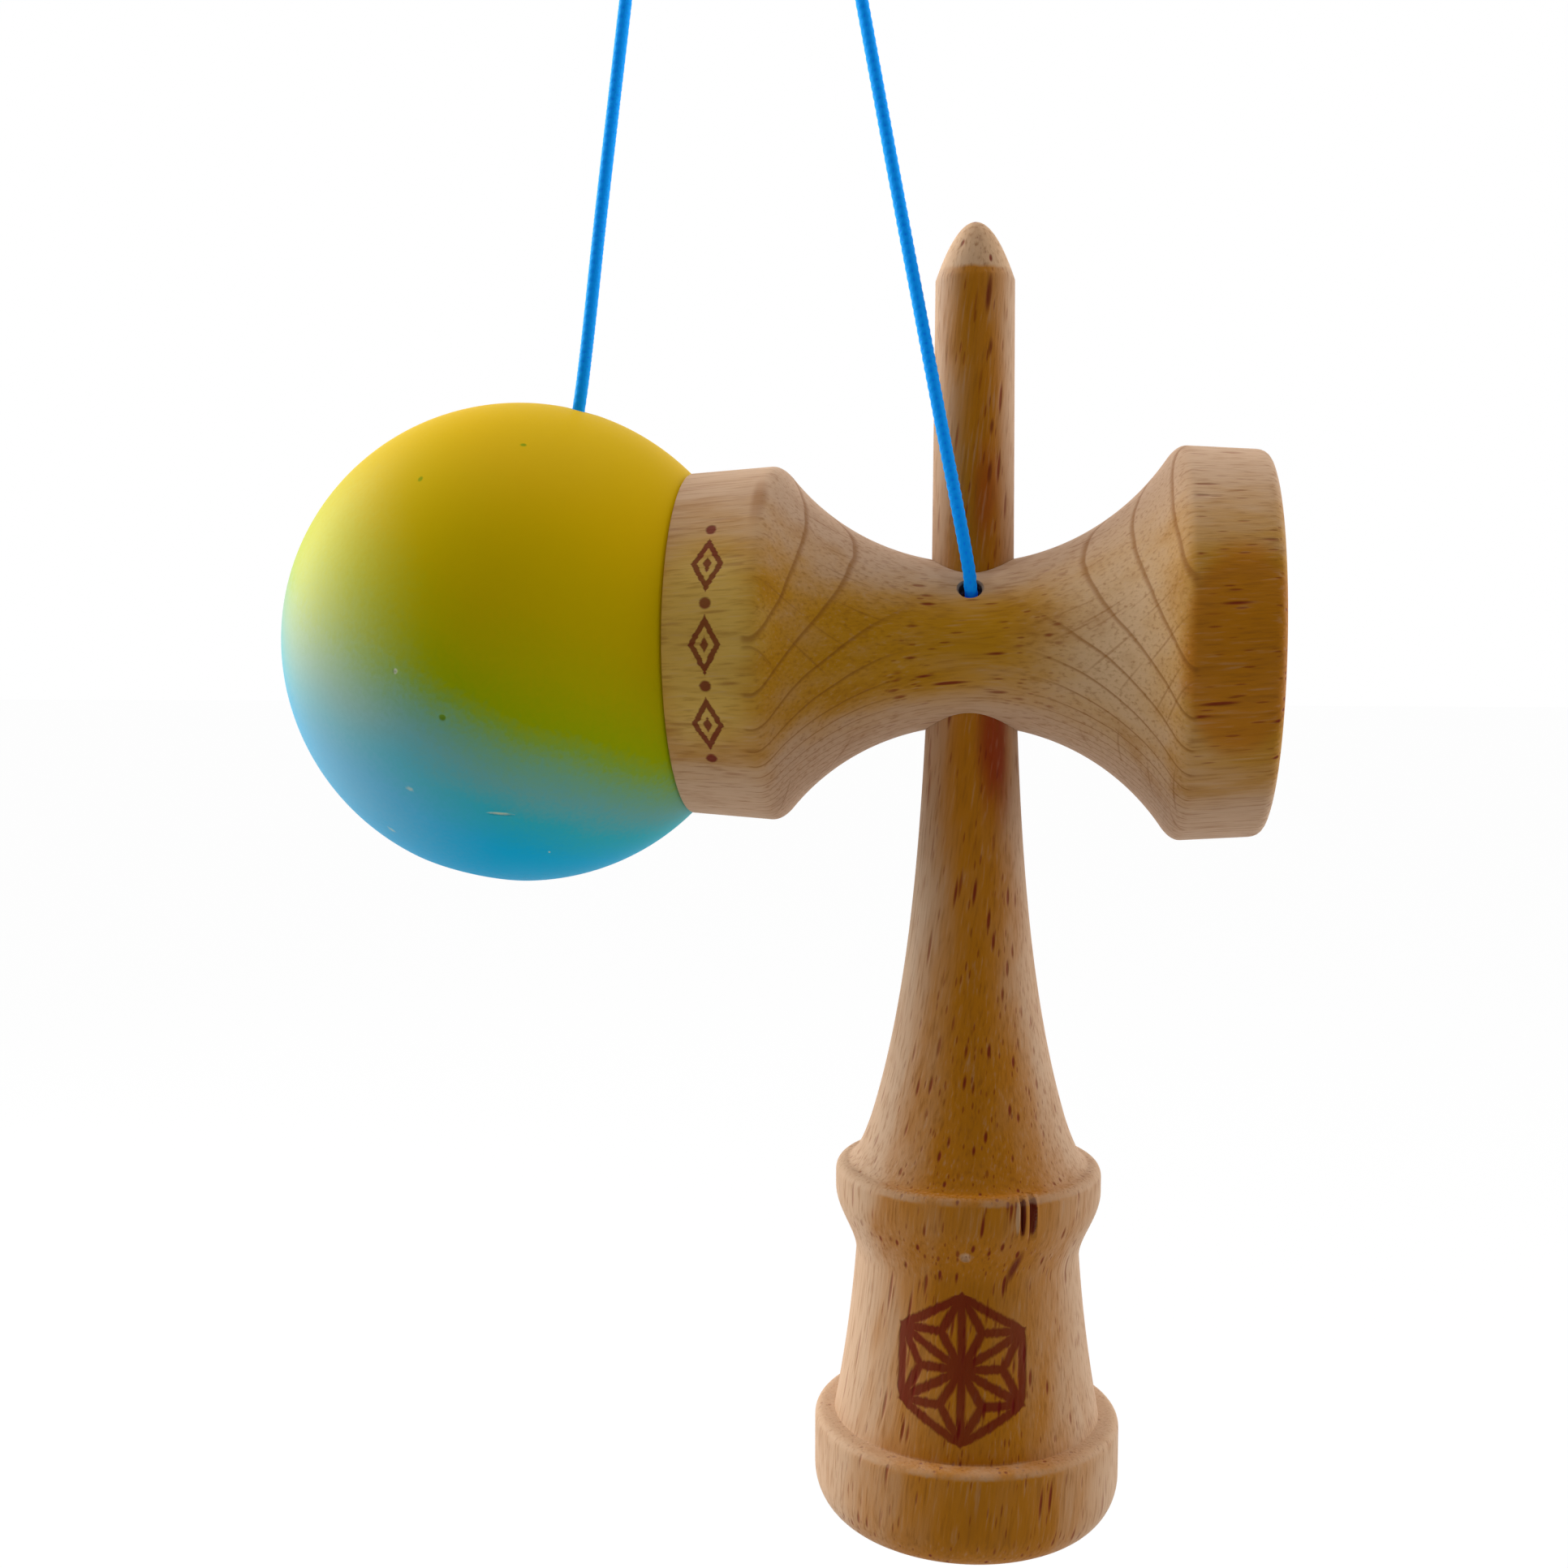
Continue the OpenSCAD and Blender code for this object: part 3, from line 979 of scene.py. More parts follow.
@dataclass(frozen=True)
class Lozenges(Motif):
    """A row of lozenges with dots between them, burnt round a cup's band.

    Attributes:
        pitch: Angle between neighbours.
        tall: Half the height of a lozenge.
        wide: Half the width of a lozenge.
        band: Radius of the band.
        RING: Where a lozenge's line lies, as a share of its size, and the distances over which it fades.
        CORE: Shares of a lozenge's size between which its middle fades.
        ROW: Pitches from the row's middle between which the lozenges end.
        DOT: Distances over which a dot fades.
        DOT_ROW: Pitches from the row's middle between which the dots end.
        SKIN: Depths under the band between which the burn ends.
        GRIT: How far the noise moves a lozenge's edge, as a share of its size.
        DOT_GRIT: How far the noise moves a dot's edge.
    """

    pitch: float = 0.44
    tall: float = 0.0034
    wide: float = 0.0019
    band: float = 0.0216
    RING: ClassVar[tuple[float, float, float]] = (0.82, 0.14, 0.24)
    CORE: ClassVar[tuple[float, float]] = (0.22, 0.34)
    ROW: ClassVar[tuple[float, float]] = (1.45, 1.55)
    DOT: ClassVar[tuple[float, float]] = (0.0005, 0.0008)
    DOT_ROW: ClassVar[tuple[float, float]] = (1.9, 2.0)
    SKIN: ClassVar[tuple[float, float]] = (0.0025, 0.0015)
    GRIT: ClassVar[float] = 0.35
    DOT_GRIT: ClassVar[float] = 0.0004

    def mask(self, sheet: Sheet, x: Signal, y: Signal, z: Signal, grit: Signal) -> Signal:
        """Three lozenges and four dots on the band's front.

        Args:
            sheet: The material's sheet.
            x: Distance along the cross-piece.
            y: Distance behind the axis.
            z: Height above the axis.
            grit: Noise that breaks the edges.

        Returns:
            Mask of the burnt shapes.
        """
        place = sheet.math("ARCTAN2", z, y * -1) / self.pitch
        up = (sheet.math("FRACT", place + 0.5) - 0.5) * (self.pitch * self.band)
        between = (sheet.math("FRACT", place) - 0.5) * (self.pitch * self.band)
        across = abs(x - self.middle[0])
        reach = across / self.wide + abs(up) / self.tall + (grit - 0.5) * self.GRIT
        line, thin, thick = self.RING
        shapes = abs(reach - line).fall(thin, thick).most(reach.fall(*self.CORE)) * abs(place).fall(*self.ROW)
        dot = sheet.math("SQRT", across * across + between * between) + (grit - 0.5) * self.DOT_GRIT
        dots = dot.fall(*self.DOT) * abs(place).fall(*self.DOT_ROW)
        skin = sheet.math("SQRT", y * y + z * z).rise(*(self.band - depth for depth in self.SKIN))
        return shapes.most(dots) * y.fall(*self.FRONT) * skin


class BallPaint(Finish):
    """Satin sprayed paint that fades from one side of the ball to the other, over bare wood in the holes."""

    SPAN = 0.0302
    FADE = (0.4614, -0.164, 0.8719)
    STOPS = (
        (0.06, screen(0, 172, 226)),
        (0.22, screen(0, 182, 230)),
        (0.31, screen(52, 188, 206)),
        (0.38, screen(112, 184, 178)),
        (0.43, screen(126, 184, 140)),
        (0.475, screen(146, 184, 66)),
        (0.51, screen(168, 184, 0)),
        (0.60, screen(196, 186, 0)),
        (0.70, screen(212, 184, 0)),
        (0.90, screen(222, 180, 0)),
    )
    CLOUD_SCALE, CLOUD_WAVER = 60.0, 0.005
    MIST_SCALE, MIST_WAVER = 1700.0, 0.003
    COAT = (0.0016, 0.0007)
    WOOD = screen(196, 160, 118)
    ROUGH, ROUGH_MIST, ROUGH_WOOD = 0.46, 0.12, 0.2
    RELIEF = 0.000015

    def __init__(self, name: str, middle: Point, patches: Sequence[Patch]) -> None:
        """Builds the material.

        Args:
            name: Its name.
            middle: The ball's middle.
            patches: Chips, and pale overspray patches that also carry painted rim light.
        """
        super().__init__(name)
        sheet = self.sheet
        gap = sheet.vector("SUBTRACT", self.place, middle)
        level = sheet.vector("DOT_PRODUCT", gap, self.FADE)
        cloud = sheet.noise(gap, self.CLOUD_SCALE, 3.0)
        mist = sheet.noise(gap, self.MIST_SCALE, 2.0)
        level = level + (cloud - 0.5) * self.CLOUD_WAVER + (mist - 0.5) * self.MIST_WAVER
        share = level / (2 * self.SPAN) + 0.5
        colour = sheet.out(sheet.add("ShaderNodeValToRGB", {"stops": self.STOPS}, {0: share}))
        for patch in patches:
            colour = patch.lay(sheet, self.place, colour, mist)
        bare = sheet.vector("LENGTH", gap).fall(*(self.SPAN - depth for depth in self.COAT))
        colour = sheet.tint(bare, colour, self.WOOD)
        rough = self.ROUGH + self.ROUGH_MIST * (mist - 0.5) + self.ROUGH_WOOD * bare
        self.end({"Base Color": colour, "Roughness": rough, "Specular IOR Level": 0.02}, mist, self.RELIEF)


class CordWeave(Finish):
    """Braided blue cord, with a faint blue glow that is painted light."""

    DEEP, HIGH, FUZZ = screen(0, 140, 244), screen(0, 174, 255), screen(40, 176, 255)
    # Painted light: the cord glows faintly blue, though it is no lamp.
    GLOW, GLOW_STRENGTH = screen(0, 60, 255), 0.16
    STITCH_RISE = (0.0, 0.6)
    FUZZ_SCALE, FUZZ_VEIL = 5200.0, Veil(0.5, 0.8, 0.2)
    ROUGH, ROUGH_FUZZ = 0.66, 0.2
    RELIEF = 0.00003

    def __init__(self, name: str) -> None:
        """Builds the material from the braid's own stitch height.

        Args:
            name: Its name.
        """
        super().__init__(name)
        sheet = self.sheet
        stitch = sheet.out(sheet.add("ShaderNodeAttribute", {"attribute_name": Braid.STITCH}), "Fac")
        fuzz = sheet.noise(self.place, self.FUZZ_SCALE, 2.0)
        colour = sheet.tint(stitch.rise(*self.STITCH_RISE), self.DEEP, self.HIGH)
        colour = sheet.tint(self.FUZZ_VEIL.above(fuzz), colour, self.FUZZ)
        rough = self.ROUGH + self.ROUGH_FUZZ * (fuzz - 0.5)
        self.end({"Base Color": colour, "Roughness": rough, "Specular IOR Level": 0.1,
                  "Emission Color": self.GLOW, "Emission Strength": self.GLOW_STRENGTH}, fuzz, self.RELIEF)


class BeadWood(Finish):
    """Plain turned wood of the small bead."""

    PALE, DARK = screen(206, 168, 124), screen(160, 112, 66)
    STREAK_SCALE, STREAK_RISE = (1800.0, 160.0), (0.35, 0.7)
    ROUGH, ROUGH_STREAK = 0.5, 0.2
    RELIEF = 0.00005

    def __init__(self, name: str) -> None:
        """Builds the material from streaks along the string.

        Args:
            name: Its name.
        """
        super().__init__(name)
        sheet = self.sheet
        wide, long = self.STREAK_SCALE
        x, y, z = sheet.split(self.place)
        streak = sheet.noise(sheet.join(x * wide, y * wide, z * long), 1.0, 3.0)
        colour = sheet.tint(streak.rise(*self.STREAK_RISE), self.PALE, self.DARK)
        rough = self.ROUGH + self.ROUGH_STREAK * (streak - 0.5)
        self.end({"Base Color": colour, "Roughness": rough}, streak, self.RELIEF)


class Braid(NodeTool):
    """Lays a braided cord along a line of points."""

    STITCH = "stitch"
    SIDES = 20
    STEP = 0.00028
    STRANDS = 4
    LAY = 0.0022
    RELIEF = 0.00005

    def __init__(self) -> None:
        """Lays the tree: a tube along the resampled line, raised into crossing strands."""
        super().__init__("Braid", {"Radius": "NodeSocketFloat", "Finish": "NodeSocketMaterial"})
        sheet = self.sheet
        line = sheet.add("GeometryNodeMeshToCurve", None, {0: self.value("Geometry")})
        even = sheet.add("GeometryNodeResampleCurve", {"mode": "LENGTH"},
                         {"Curve": sheet.out(line), "Length": self.STEP})
        spline = sheet.add("GeometryNodeSplineParameter")
        path = sheet.add("GeometryNodeCaptureAttribute", {"captures": ("FLOAT", "Length")},
                         {0: sheet.out(even), 1: sheet.out(spline, "Length")})
        ring = sheet.add("GeometryNodeCurvePrimitiveCircle", None,
                         {"Resolution": self.SIDES, "Radius": self.value("Radius") - self.RELIEF})
        round_it = sheet.add("GeometryNodeCaptureAttribute", {"captures": ("FLOAT", "Turn")},
                             {0: sheet.out(ring), 1: sheet.out(spline, "Factor")})
        tube = sheet.add("GeometryNodeCurveToMesh", None,
                         {"Curve": sheet.out(path), "Profile Curve": sheet.out(round_it), "Fill Caps": True})
        turn = sheet.out(round_it, 1) * (TURN * self.STRANDS / 2)
        run = sheet.out(path, 1) * (TURN / self.LAY)
        one = sheet.math("COSINE", turn + run)
        other = sheet.math("COSINE", turn - run)
        stitch = (one * one).most(other * other)
        normal = sheet.out(sheet.add("GeometryNodeInputNormal"))
        lift = sheet.vector("MULTIPLY", normal, sheet.join(stitch, stitch, stitch))
        lift = sheet.vector("MULTIPLY", lift, (2 * self.RELIEF,) * 3)
        raised = sheet.add("GeometryNodeSetPosition", None, {"Geometry": sheet.out(tube), "Offset": lift})
        named = sheet.add("GeometryNodeStoreNamedAttribute", {"data_type": "FLOAT", "domain": "POINT"},
                          {"Geometry": sheet.out(raised), "Name": self.STITCH, "Value": stitch})
        smooth = sheet.add("GeometryNodeSetShadeSmooth", None, {"Geometry": sheet.out(named)})
        self.close(sheet.out(smooth))

    def lay(self, name: str, points: Sequence[Sequence[float]], radius: float, finish: bpy.types.Material,
            loop: bool = False) -> bpy.types.Object:
        """Makes a length of cord.

        Args:
            name: Name of the piece.
            points: The cord's middle line.
            radius: The cord's radius.
            finish: Its material.
            loop: Whether its end joins its start.

        Returns:
            The cord, a closed tube.
        """
        return self.make(name, points, loop, {"Radius": radius, "Finish": finish})


@dataclass
class Workshop:
    """The tools and the frame that every piece is made with.

    Attributes:
        lathe: Spins turned pieces.
        braid: Lays cords.
        crossing: Where the ken's axis crosses the cross-piece's axis.
    """

    lathe: Lathe
    braid: Braid
    crossing: Vector


@dataclass
class Ken:
    """The turned handle: foot ring, grip, collar, thinning neck and spike.

    Names that end in _d are diameters, and those in _h heights above the foot or of the form itself.
    """

    shop: Workshop
    foot_d: float = 0.0384
    foot_h: float = 0.0126
    foot_rim_d: float = 0.0298
    foot_curve_h: float = 0.0054
    foot_edge: float = 0.0013
    foot_cup_d: float = 0.0272
    foot_cup_depth: float = 0.006
    lower_d: float = 0.0334
    waist_d: float = 0.028
    waist_h: float = 0.0332
    grip_bow: float = 0.0003
    collar_d: float = 0.0332
    collar_low: float = 0.0415
    collar_high: float = 0.0452
    collar_edge: float = 0.0019
    shoulder_d: float = 0.03
    shoulder_drop: float = 0.0004
    cove_h: float = 0.005
    grip_d: float = 0.0276
    grip_taper: float = 2.13
    seat_d: float = 0.0113
    spike_d: float = 0.01
    spike_top_d: float = 0.0096
    tip_h: float = 0.007
    neck_d: float = 0.02
    hole_d: float = 0.0028
    hole_turn: float = math.radians(42)
    knot_d: float = 0.0038
    knot_room: float = 0.0004
    step: float = 0.0005
    segments: int = 192
    hole_segments: int = 48

    def __post_init__(self) -> None:
        """Reads the heights from the frame."""
        low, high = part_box("ken")
        self.foot = low.z
        self.top = high.z - low.z
        self.seat_low = self.shop.crossing.z - low.z - self.neck_d / 2
        self.seat_high = self.seat_low + self.neck_d

    @property
    def knot_depth(self) -> float:
        """Distance of the knot's middle behind the crossing, along the string's hole."""
        rest = (self.seat_d + self.spike_d) / 4
        return (rest - self.knot_d / 2) / math.cos(self.hole_turn) - self.knot_room

    def _grip_at(self, share: np.ndarray) -> np.ndarray:
        """Radius between the collar and the seat, at a share of the way up."""
        low, high, k = self.grip_d / 2, self.seat_d / 2, self.grip_taper
        return high + (low - high) * (np.exp(-k * share) - math.exp(-k)) / (1 - math.exp(-k))

    def outline(self) -> Outline:
        """Radius and height above the foot, from the foot's hollow up to the point.

        Returns:
            The outline, bottom first.
        """
        hollow = arc_hollow(self.foot_cup_d, self.foot_cup_depth, 24)
        rim = self.foot_rim_d / 2
        foot = [(rim + (self.foot_d / 2 - rim) * math.sin(a), self.foot_curve_h * (1 - math.cos(a)))
                for a in np.linspace(0, math.pi / 2, 16)]
        edge = self.foot_edge
        ring = bend((self.foot_d / 2, self.foot_h - edge), (self.foot_d / 2, self.foot_h),
                    (self.foot_d / 2 - edge, self.foot_h), 8)
        bow = (self.lower_d + self.waist_d) / 4 - 2 * self.grip_bow
        lower = bend((self.lower_d / 2, self.foot_h), (bow, (self.foot_h + self.waist_h) / 2),
                     (self.waist_d / 2, self.waist_h), 40)
        ease = np.linspace(0, 1, 21)[1:]
        swell = [((self.waist_d + (self.collar_d - self.waist_d) * t * t * (3 - 2 * t)) / 2,
                  self.waist_h + (self.collar_low - self.waist_h) * t) for t in ease]
        high = self.collar_high
        shoulder = (self.shoulder_d / 2, high - self.shoulder_drop)
        collar = bend((self.collar_d / 2, high - self.collar_edge),
                      (self.collar_d / 2, high - self.shoulder_drop), shoulder, 14)
        span = self.seat_low - high
        start = self.cove_h / span
        waist = float(self._grip_at(np.array(start)))
        cove = bend(shoulder, (self.grip_d / 2, high), (waist, high + self.cove_h), 14)
        shares = np.linspace(start, 1, 110)
        grip = list(zip(self._grip_at(shares), high + span * shares))
        tip = [(self.spike_top_d / 2 * t, self.top - self.tip_h * t * t) for t in np.linspace(1, 0, 20)]
        parts = hollow + foot + ring + lower + swell + collar + cove + grip
        parts += [(self.spike_d / 2, self.seat_high)] + tip
        return spaced([(float(r), float(h)) for r, h in parts], self.step)

    def build(self, finish: bpy.types.Material, marks: Sequence[Mark]) -> bpy.types.Object:
        """Makes the piece, with the string's hole, the knot's recess and its marks.

        Args:
            finish: Its material.
            marks: Dents to press into it.

        Returns:
            The finished ken.
        """
        centre = self.shop.crossing
        base = Vector((centre.x, centre.y, self.foot))
        outline = self.outline()
        piece = self.shop.lathe.spin("ken_turned", outline, self.segments, finish, Matrix.Translation(base))
        side = [p for p in outline if p[0] > self.foot_rim_d / 2 - self.step or p[1] > self.foot_h]
        radii, heights = np.array([p[0] for p in side]), np.array([p[1] for p in side])

        def on_wood(place: Vector) -> Vector:
            """Moves a point straight out to the turned surface.

            Args:
                place: The point.

            Returns:
                Its place on the surface.
            """
            radius = float(np.interp(place.z - base.z, heights, radii))
            arm = Vector((place.x - base.x, place.y - base.y)).normalized() * radius
            return Vector((base.x + arm.x, base.y + arm.y, place.z))

        cut(piece, self._string_hole(finish))
        for mark in marks:
            mark.press(piece.data, on_wood, self.step)
        crisp(piece)
        return piece

    def _string_hole(self, finish: bpy.types.Material) -> bpy.types.Object:
        """The string's hole with the knot's recess at its back, as a solid to cut with.

        Args:
            finish: The material of the cut.

        Returns:
            The solid.
        """
        floor = -(self.knot_depth - self.knot_d / 2 - self.knot_room)
        wide, thin, far = self.knot_d / 2 + self.knot_room, self.hole_d / 2, self.seat_d
        outline = [(0.0, floor - far), (wide, floor - far), (wide, floor), (thin, floor), (thin, far),
                   (0.0, far)]
        place = string_hole(self.shop.crossing, self.hole_turn)
        return self.shop.lathe.spin("ken_hole", outline, self.hole_segments, finish, place)


def string_hole(crossing: Vector, turn: float) -> Matrix:
    """Where the string's hole stands: its Z points out of the cross-piece's front, up by an angle."""
    return Matrix.Translation(crossing) @ Matrix.Rotation(math.pi / 2 - turn, 4, "X")


@dataclass
class Sarado:
    """The turned cross-piece with a small cup, a big cup and the ken's tapered seat.

    Names that end in _d are diameters, and a flare is the radius of its curve.
    """

    shop: Workshop
    neck_d: float = 0.02
    small_flare: float = 0.0288
    small_d: float = 0.044
    small_rim_d: float = 0.0424
    small_rim: float = 0.00015
    small_depth: float = 0.008
    big_flare: float = 0.0279
    big_d: float = 0.0476
    big_rim_d: float = 0.0462
    big_cup_d: float = 0.0416
    big_depth: float = 0.0095
    big_rim: float = 0.0016
    crease: float = 0.0012
    seat_land: float = 0.0002
    seat_w: float = 0.0026
    ball_gap: float = 0.00025
    seat_d: float = 0.0113
    spike_d: float = 0.01
    seat_gap: float = 0.0001
    hole_d: float = 0.0028
    hole_lip: float = 0.0003
    hole_turn: float = math.radians(42)
    step: float = 0.00045
    segments: int = 256
    seat_segments: int = 96
    hole_segments: int = 48

    def _side(self, flare: float, wide: float, rim_d: float, length: float, edge: float) -> Outline:
        """Radius and distance of one side, from the neck to the rim.

        Args:
            flare: Radius of the flare.
            wide: Diameter where the flare meets the band.
            rim_d: Diameter of the rim.
            length: Distance of the rim from the neck.
            edge: Rounding of the rim.

        Returns:
            The outline, neck first.
        """
        rise = (wide - self.neck_d) / 2
        corner = np.array((wide / 2, math.sqrt(flare ** 2 - (flare - rise) ** 2)))
        rim = np.array((rim_d / 2, length))
        band = (rim - corner) / np.linalg.norm(rim - corner)
        start = corner[1] - self.crease

        def radius(x: float) -> float:
            """The flare's radius at a distance."""
            return self.neck_d / 2 + flare - math.sqrt(flare ** 2 - x ** 2)

        sweep = [(radius(x), x) for x in np.linspace(0, start, 60)]
        crease = bend((radius(start), start), corner, corner + band * self.crease, 8)
        lip = bend(rim - band * edge, rim, rim - np.array((edge, 0.0)), 6)
        return sweep + crease + lip

    def outline(self, ball_r: float, ball_x: float, small_len: float, big_len: float) -> Outline:
        """Radius and distance along the axis, from the small cup's floor to the big cup's floor.

        Args:
            ball_r: Radius of the ball.
            ball_x: Distance of the ball's middle from the ken's axis.
            small_len: Distance of the small rim from the ken's axis.
            big_len: Distance of the big rim from the ken's axis.

        Returns:
            The outline, small cup first.
        """
        seat = ball_r + self.ball_gap
        mouth = self.small_rim_d / 2 - self.seat_land
        inner = mouth - self.seat_w
        inner_x = ball_x - math.sqrt(seat ** 2 - inner ** 2)
        floor = [(r, -(inner_x - d)) for r, d in arc_hollow(2 * inner, self.small_depth, 30)]
        land = [(r, -(ball_x - math.sqrt(seat ** 2 - r ** 2))) for r in np.linspace(inner, mouth, 7)]
        small = self._side(self.small_flare, self.small_d, self.small_rim_d, small_len, self.small_rim)
        big = self._side(self.big_flare, self.big_d, self.big_rim_d, big_len, self.big_rim)
        cup = [(r, big_len - d) for r, d in arc_hollow(self.big_cup_d, self.big_depth, 34)]
        parts = floor + land + [(r, -x) for r, x in reversed(small)] + big + list(reversed(cup))
        return spaced([(float(r), float(x)) for r, x in parts], self.step)

    def build(self, finish: bpy.types.Material) -> bpy.types.Object:
        """Makes the piece, with the ken's seat and the string's hole cut through.

        Args:
            finish: Its material.

        Returns:
            The finished cross-piece.
        """
        centre = self.shop.crossing
        low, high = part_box("sarado")
        ball_low, ball_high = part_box("tama")
        ball_r = (ball_high.x - ball_low.x) / 2
        outline = self.outline(ball_r, centre.x - (ball_low.x + ball_high.x) / 2, centre.x - low.x,
                               high.x - centre.x)
        place = Matrix.Translation(centre) @ Matrix.Rotation(math.pi / 2, 4, "Y")
        piece = self.shop.lathe.spin("sarado_turned", outline, self.segments, finish, place)
        half = self.neck_d / 2
        wide, thin = self.seat_d / 2 + self.seat_gap, self.spike_d / 2 + self.seat_gap
        seat = [(0.0, -2 * half), (wide, -2 * half), (wide, -half), (thin, half), (thin, 2 * half),
                (0.0, 2 * half)]
        upright = Matrix.Translation(centre)
        cut(piece, self.shop.lathe.spin("seat", seat, self.seat_segments, finish, upright))
        hole, lip = self.hole_d / 2, self.hole_lip
        string = [(0.0, 0.0), (hole, 0.0), (hole, half - lip), (hole + lip, half + lip / 2),
                  (hole + lip, 2 * half), (0.0, 2 * half)]
        slanted = string_hole(centre, self.hole_turn)
        cut(piece, self.shop.lathe.spin("hole", string, self.hole_segments, finish, slanted))
        crisp(piece)
        return piece


@dataclass
class Tama:
    """The painted ball, with a wide hole for the spike and a small one for the string.

    Names that end in _d are diameters, and axis points out of the string's hole.
    """

    shop: Workshop
    axis: Vector
    hole_d: float = 0.019
    bevel_d: float = 0.0216
    hole_end: float = 0.003
    pocket_d: float = 0.01
    pocket_h: float = 0.0125
    cord_d: float = 0.003
    cord_bevel_d: float = 0.0044
    step: float = 0.00046
    inner_step: float = 0.0015
    segments: int = 280
    mark_cell: float = 0.00069

    def __post_init__(self) -> None:
        """Reads the ball's size and middle from the frame."""
        low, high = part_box("tama")
        self.radius = (high.x - low.x) / 2
        self.middle = Vector(((low.x + high.x) / 2, (low.y + high.y) / 2, high.z - self.radius))

    def stand(self, up: float) -> Matrix:
        """Where the string's axis stands, at a height above the ball's middle."""
        turn = self.axis.to_track_quat("Z", "Y").to_matrix().to_4x4()
        return Matrix.Translation(self.middle + self.axis * up) @ turn

    def outline(self) -> Outline:
        """Radius and height of the ball's section, once round.

        Returns:
            The outline, from the wide hole over the outside and back through the string's hole.
        """
        r = self.radius
        low = math.asin(-math.sqrt(1 - (self.bevel_d / 2 / r) ** 2))
        high = math.asin(math.sqrt(1 - (self.cord_bevel_d / 2 / r) ** 2))
        count = math.ceil((high - low) * r / self.step)
        skin = [(r * math.cos(a), r * math.sin(a)) for a in np.linspace(low, high, count)]
        bevel = (self.hole_d / 2, skin[0][1] + (self.bevel_d - self.hole_d) / 2)
        cord = (self.cord_d / 2, skin[-1][1] - (self.cord_bevel_d - self.cord_d) / 2)
        top = self.hole_end + self.pocket_h
        inside = [skin[-1], cord, (self.cord_d / 2, top), (self.pocket_d / 2, top),
                  (self.pocket_d / 2, self.hole_end), (self.hole_d / 2, self.hole_end), bevel, skin[0]]
        return skin + spaced(inside, self.inner_step)[1:-1]

    def build(self, finish: bpy.types.Material, marks: Sequence[Mark]) -> bpy.types.Object:
        """Makes the ball with its chips.

        Args:
            finish: Its material.
            marks: Chips to press into it.

        Returns:
            The finished ball.
        """
        place = self.stand(0.0)
        piece = self.shop.lathe.spin("tama_turned", self.outline(), self.segments, finish, place, True)

        def on_ball(spot: Vector) -> Vector:
            """Moves a point out to the ball's surface."""
            return self.middle + (spot - self.middle).normalized() * self.radius

        for mark in marks:
            mark.press(piece.data, on_ball, self.mark_cell)
        crisp(piece)
        return piece


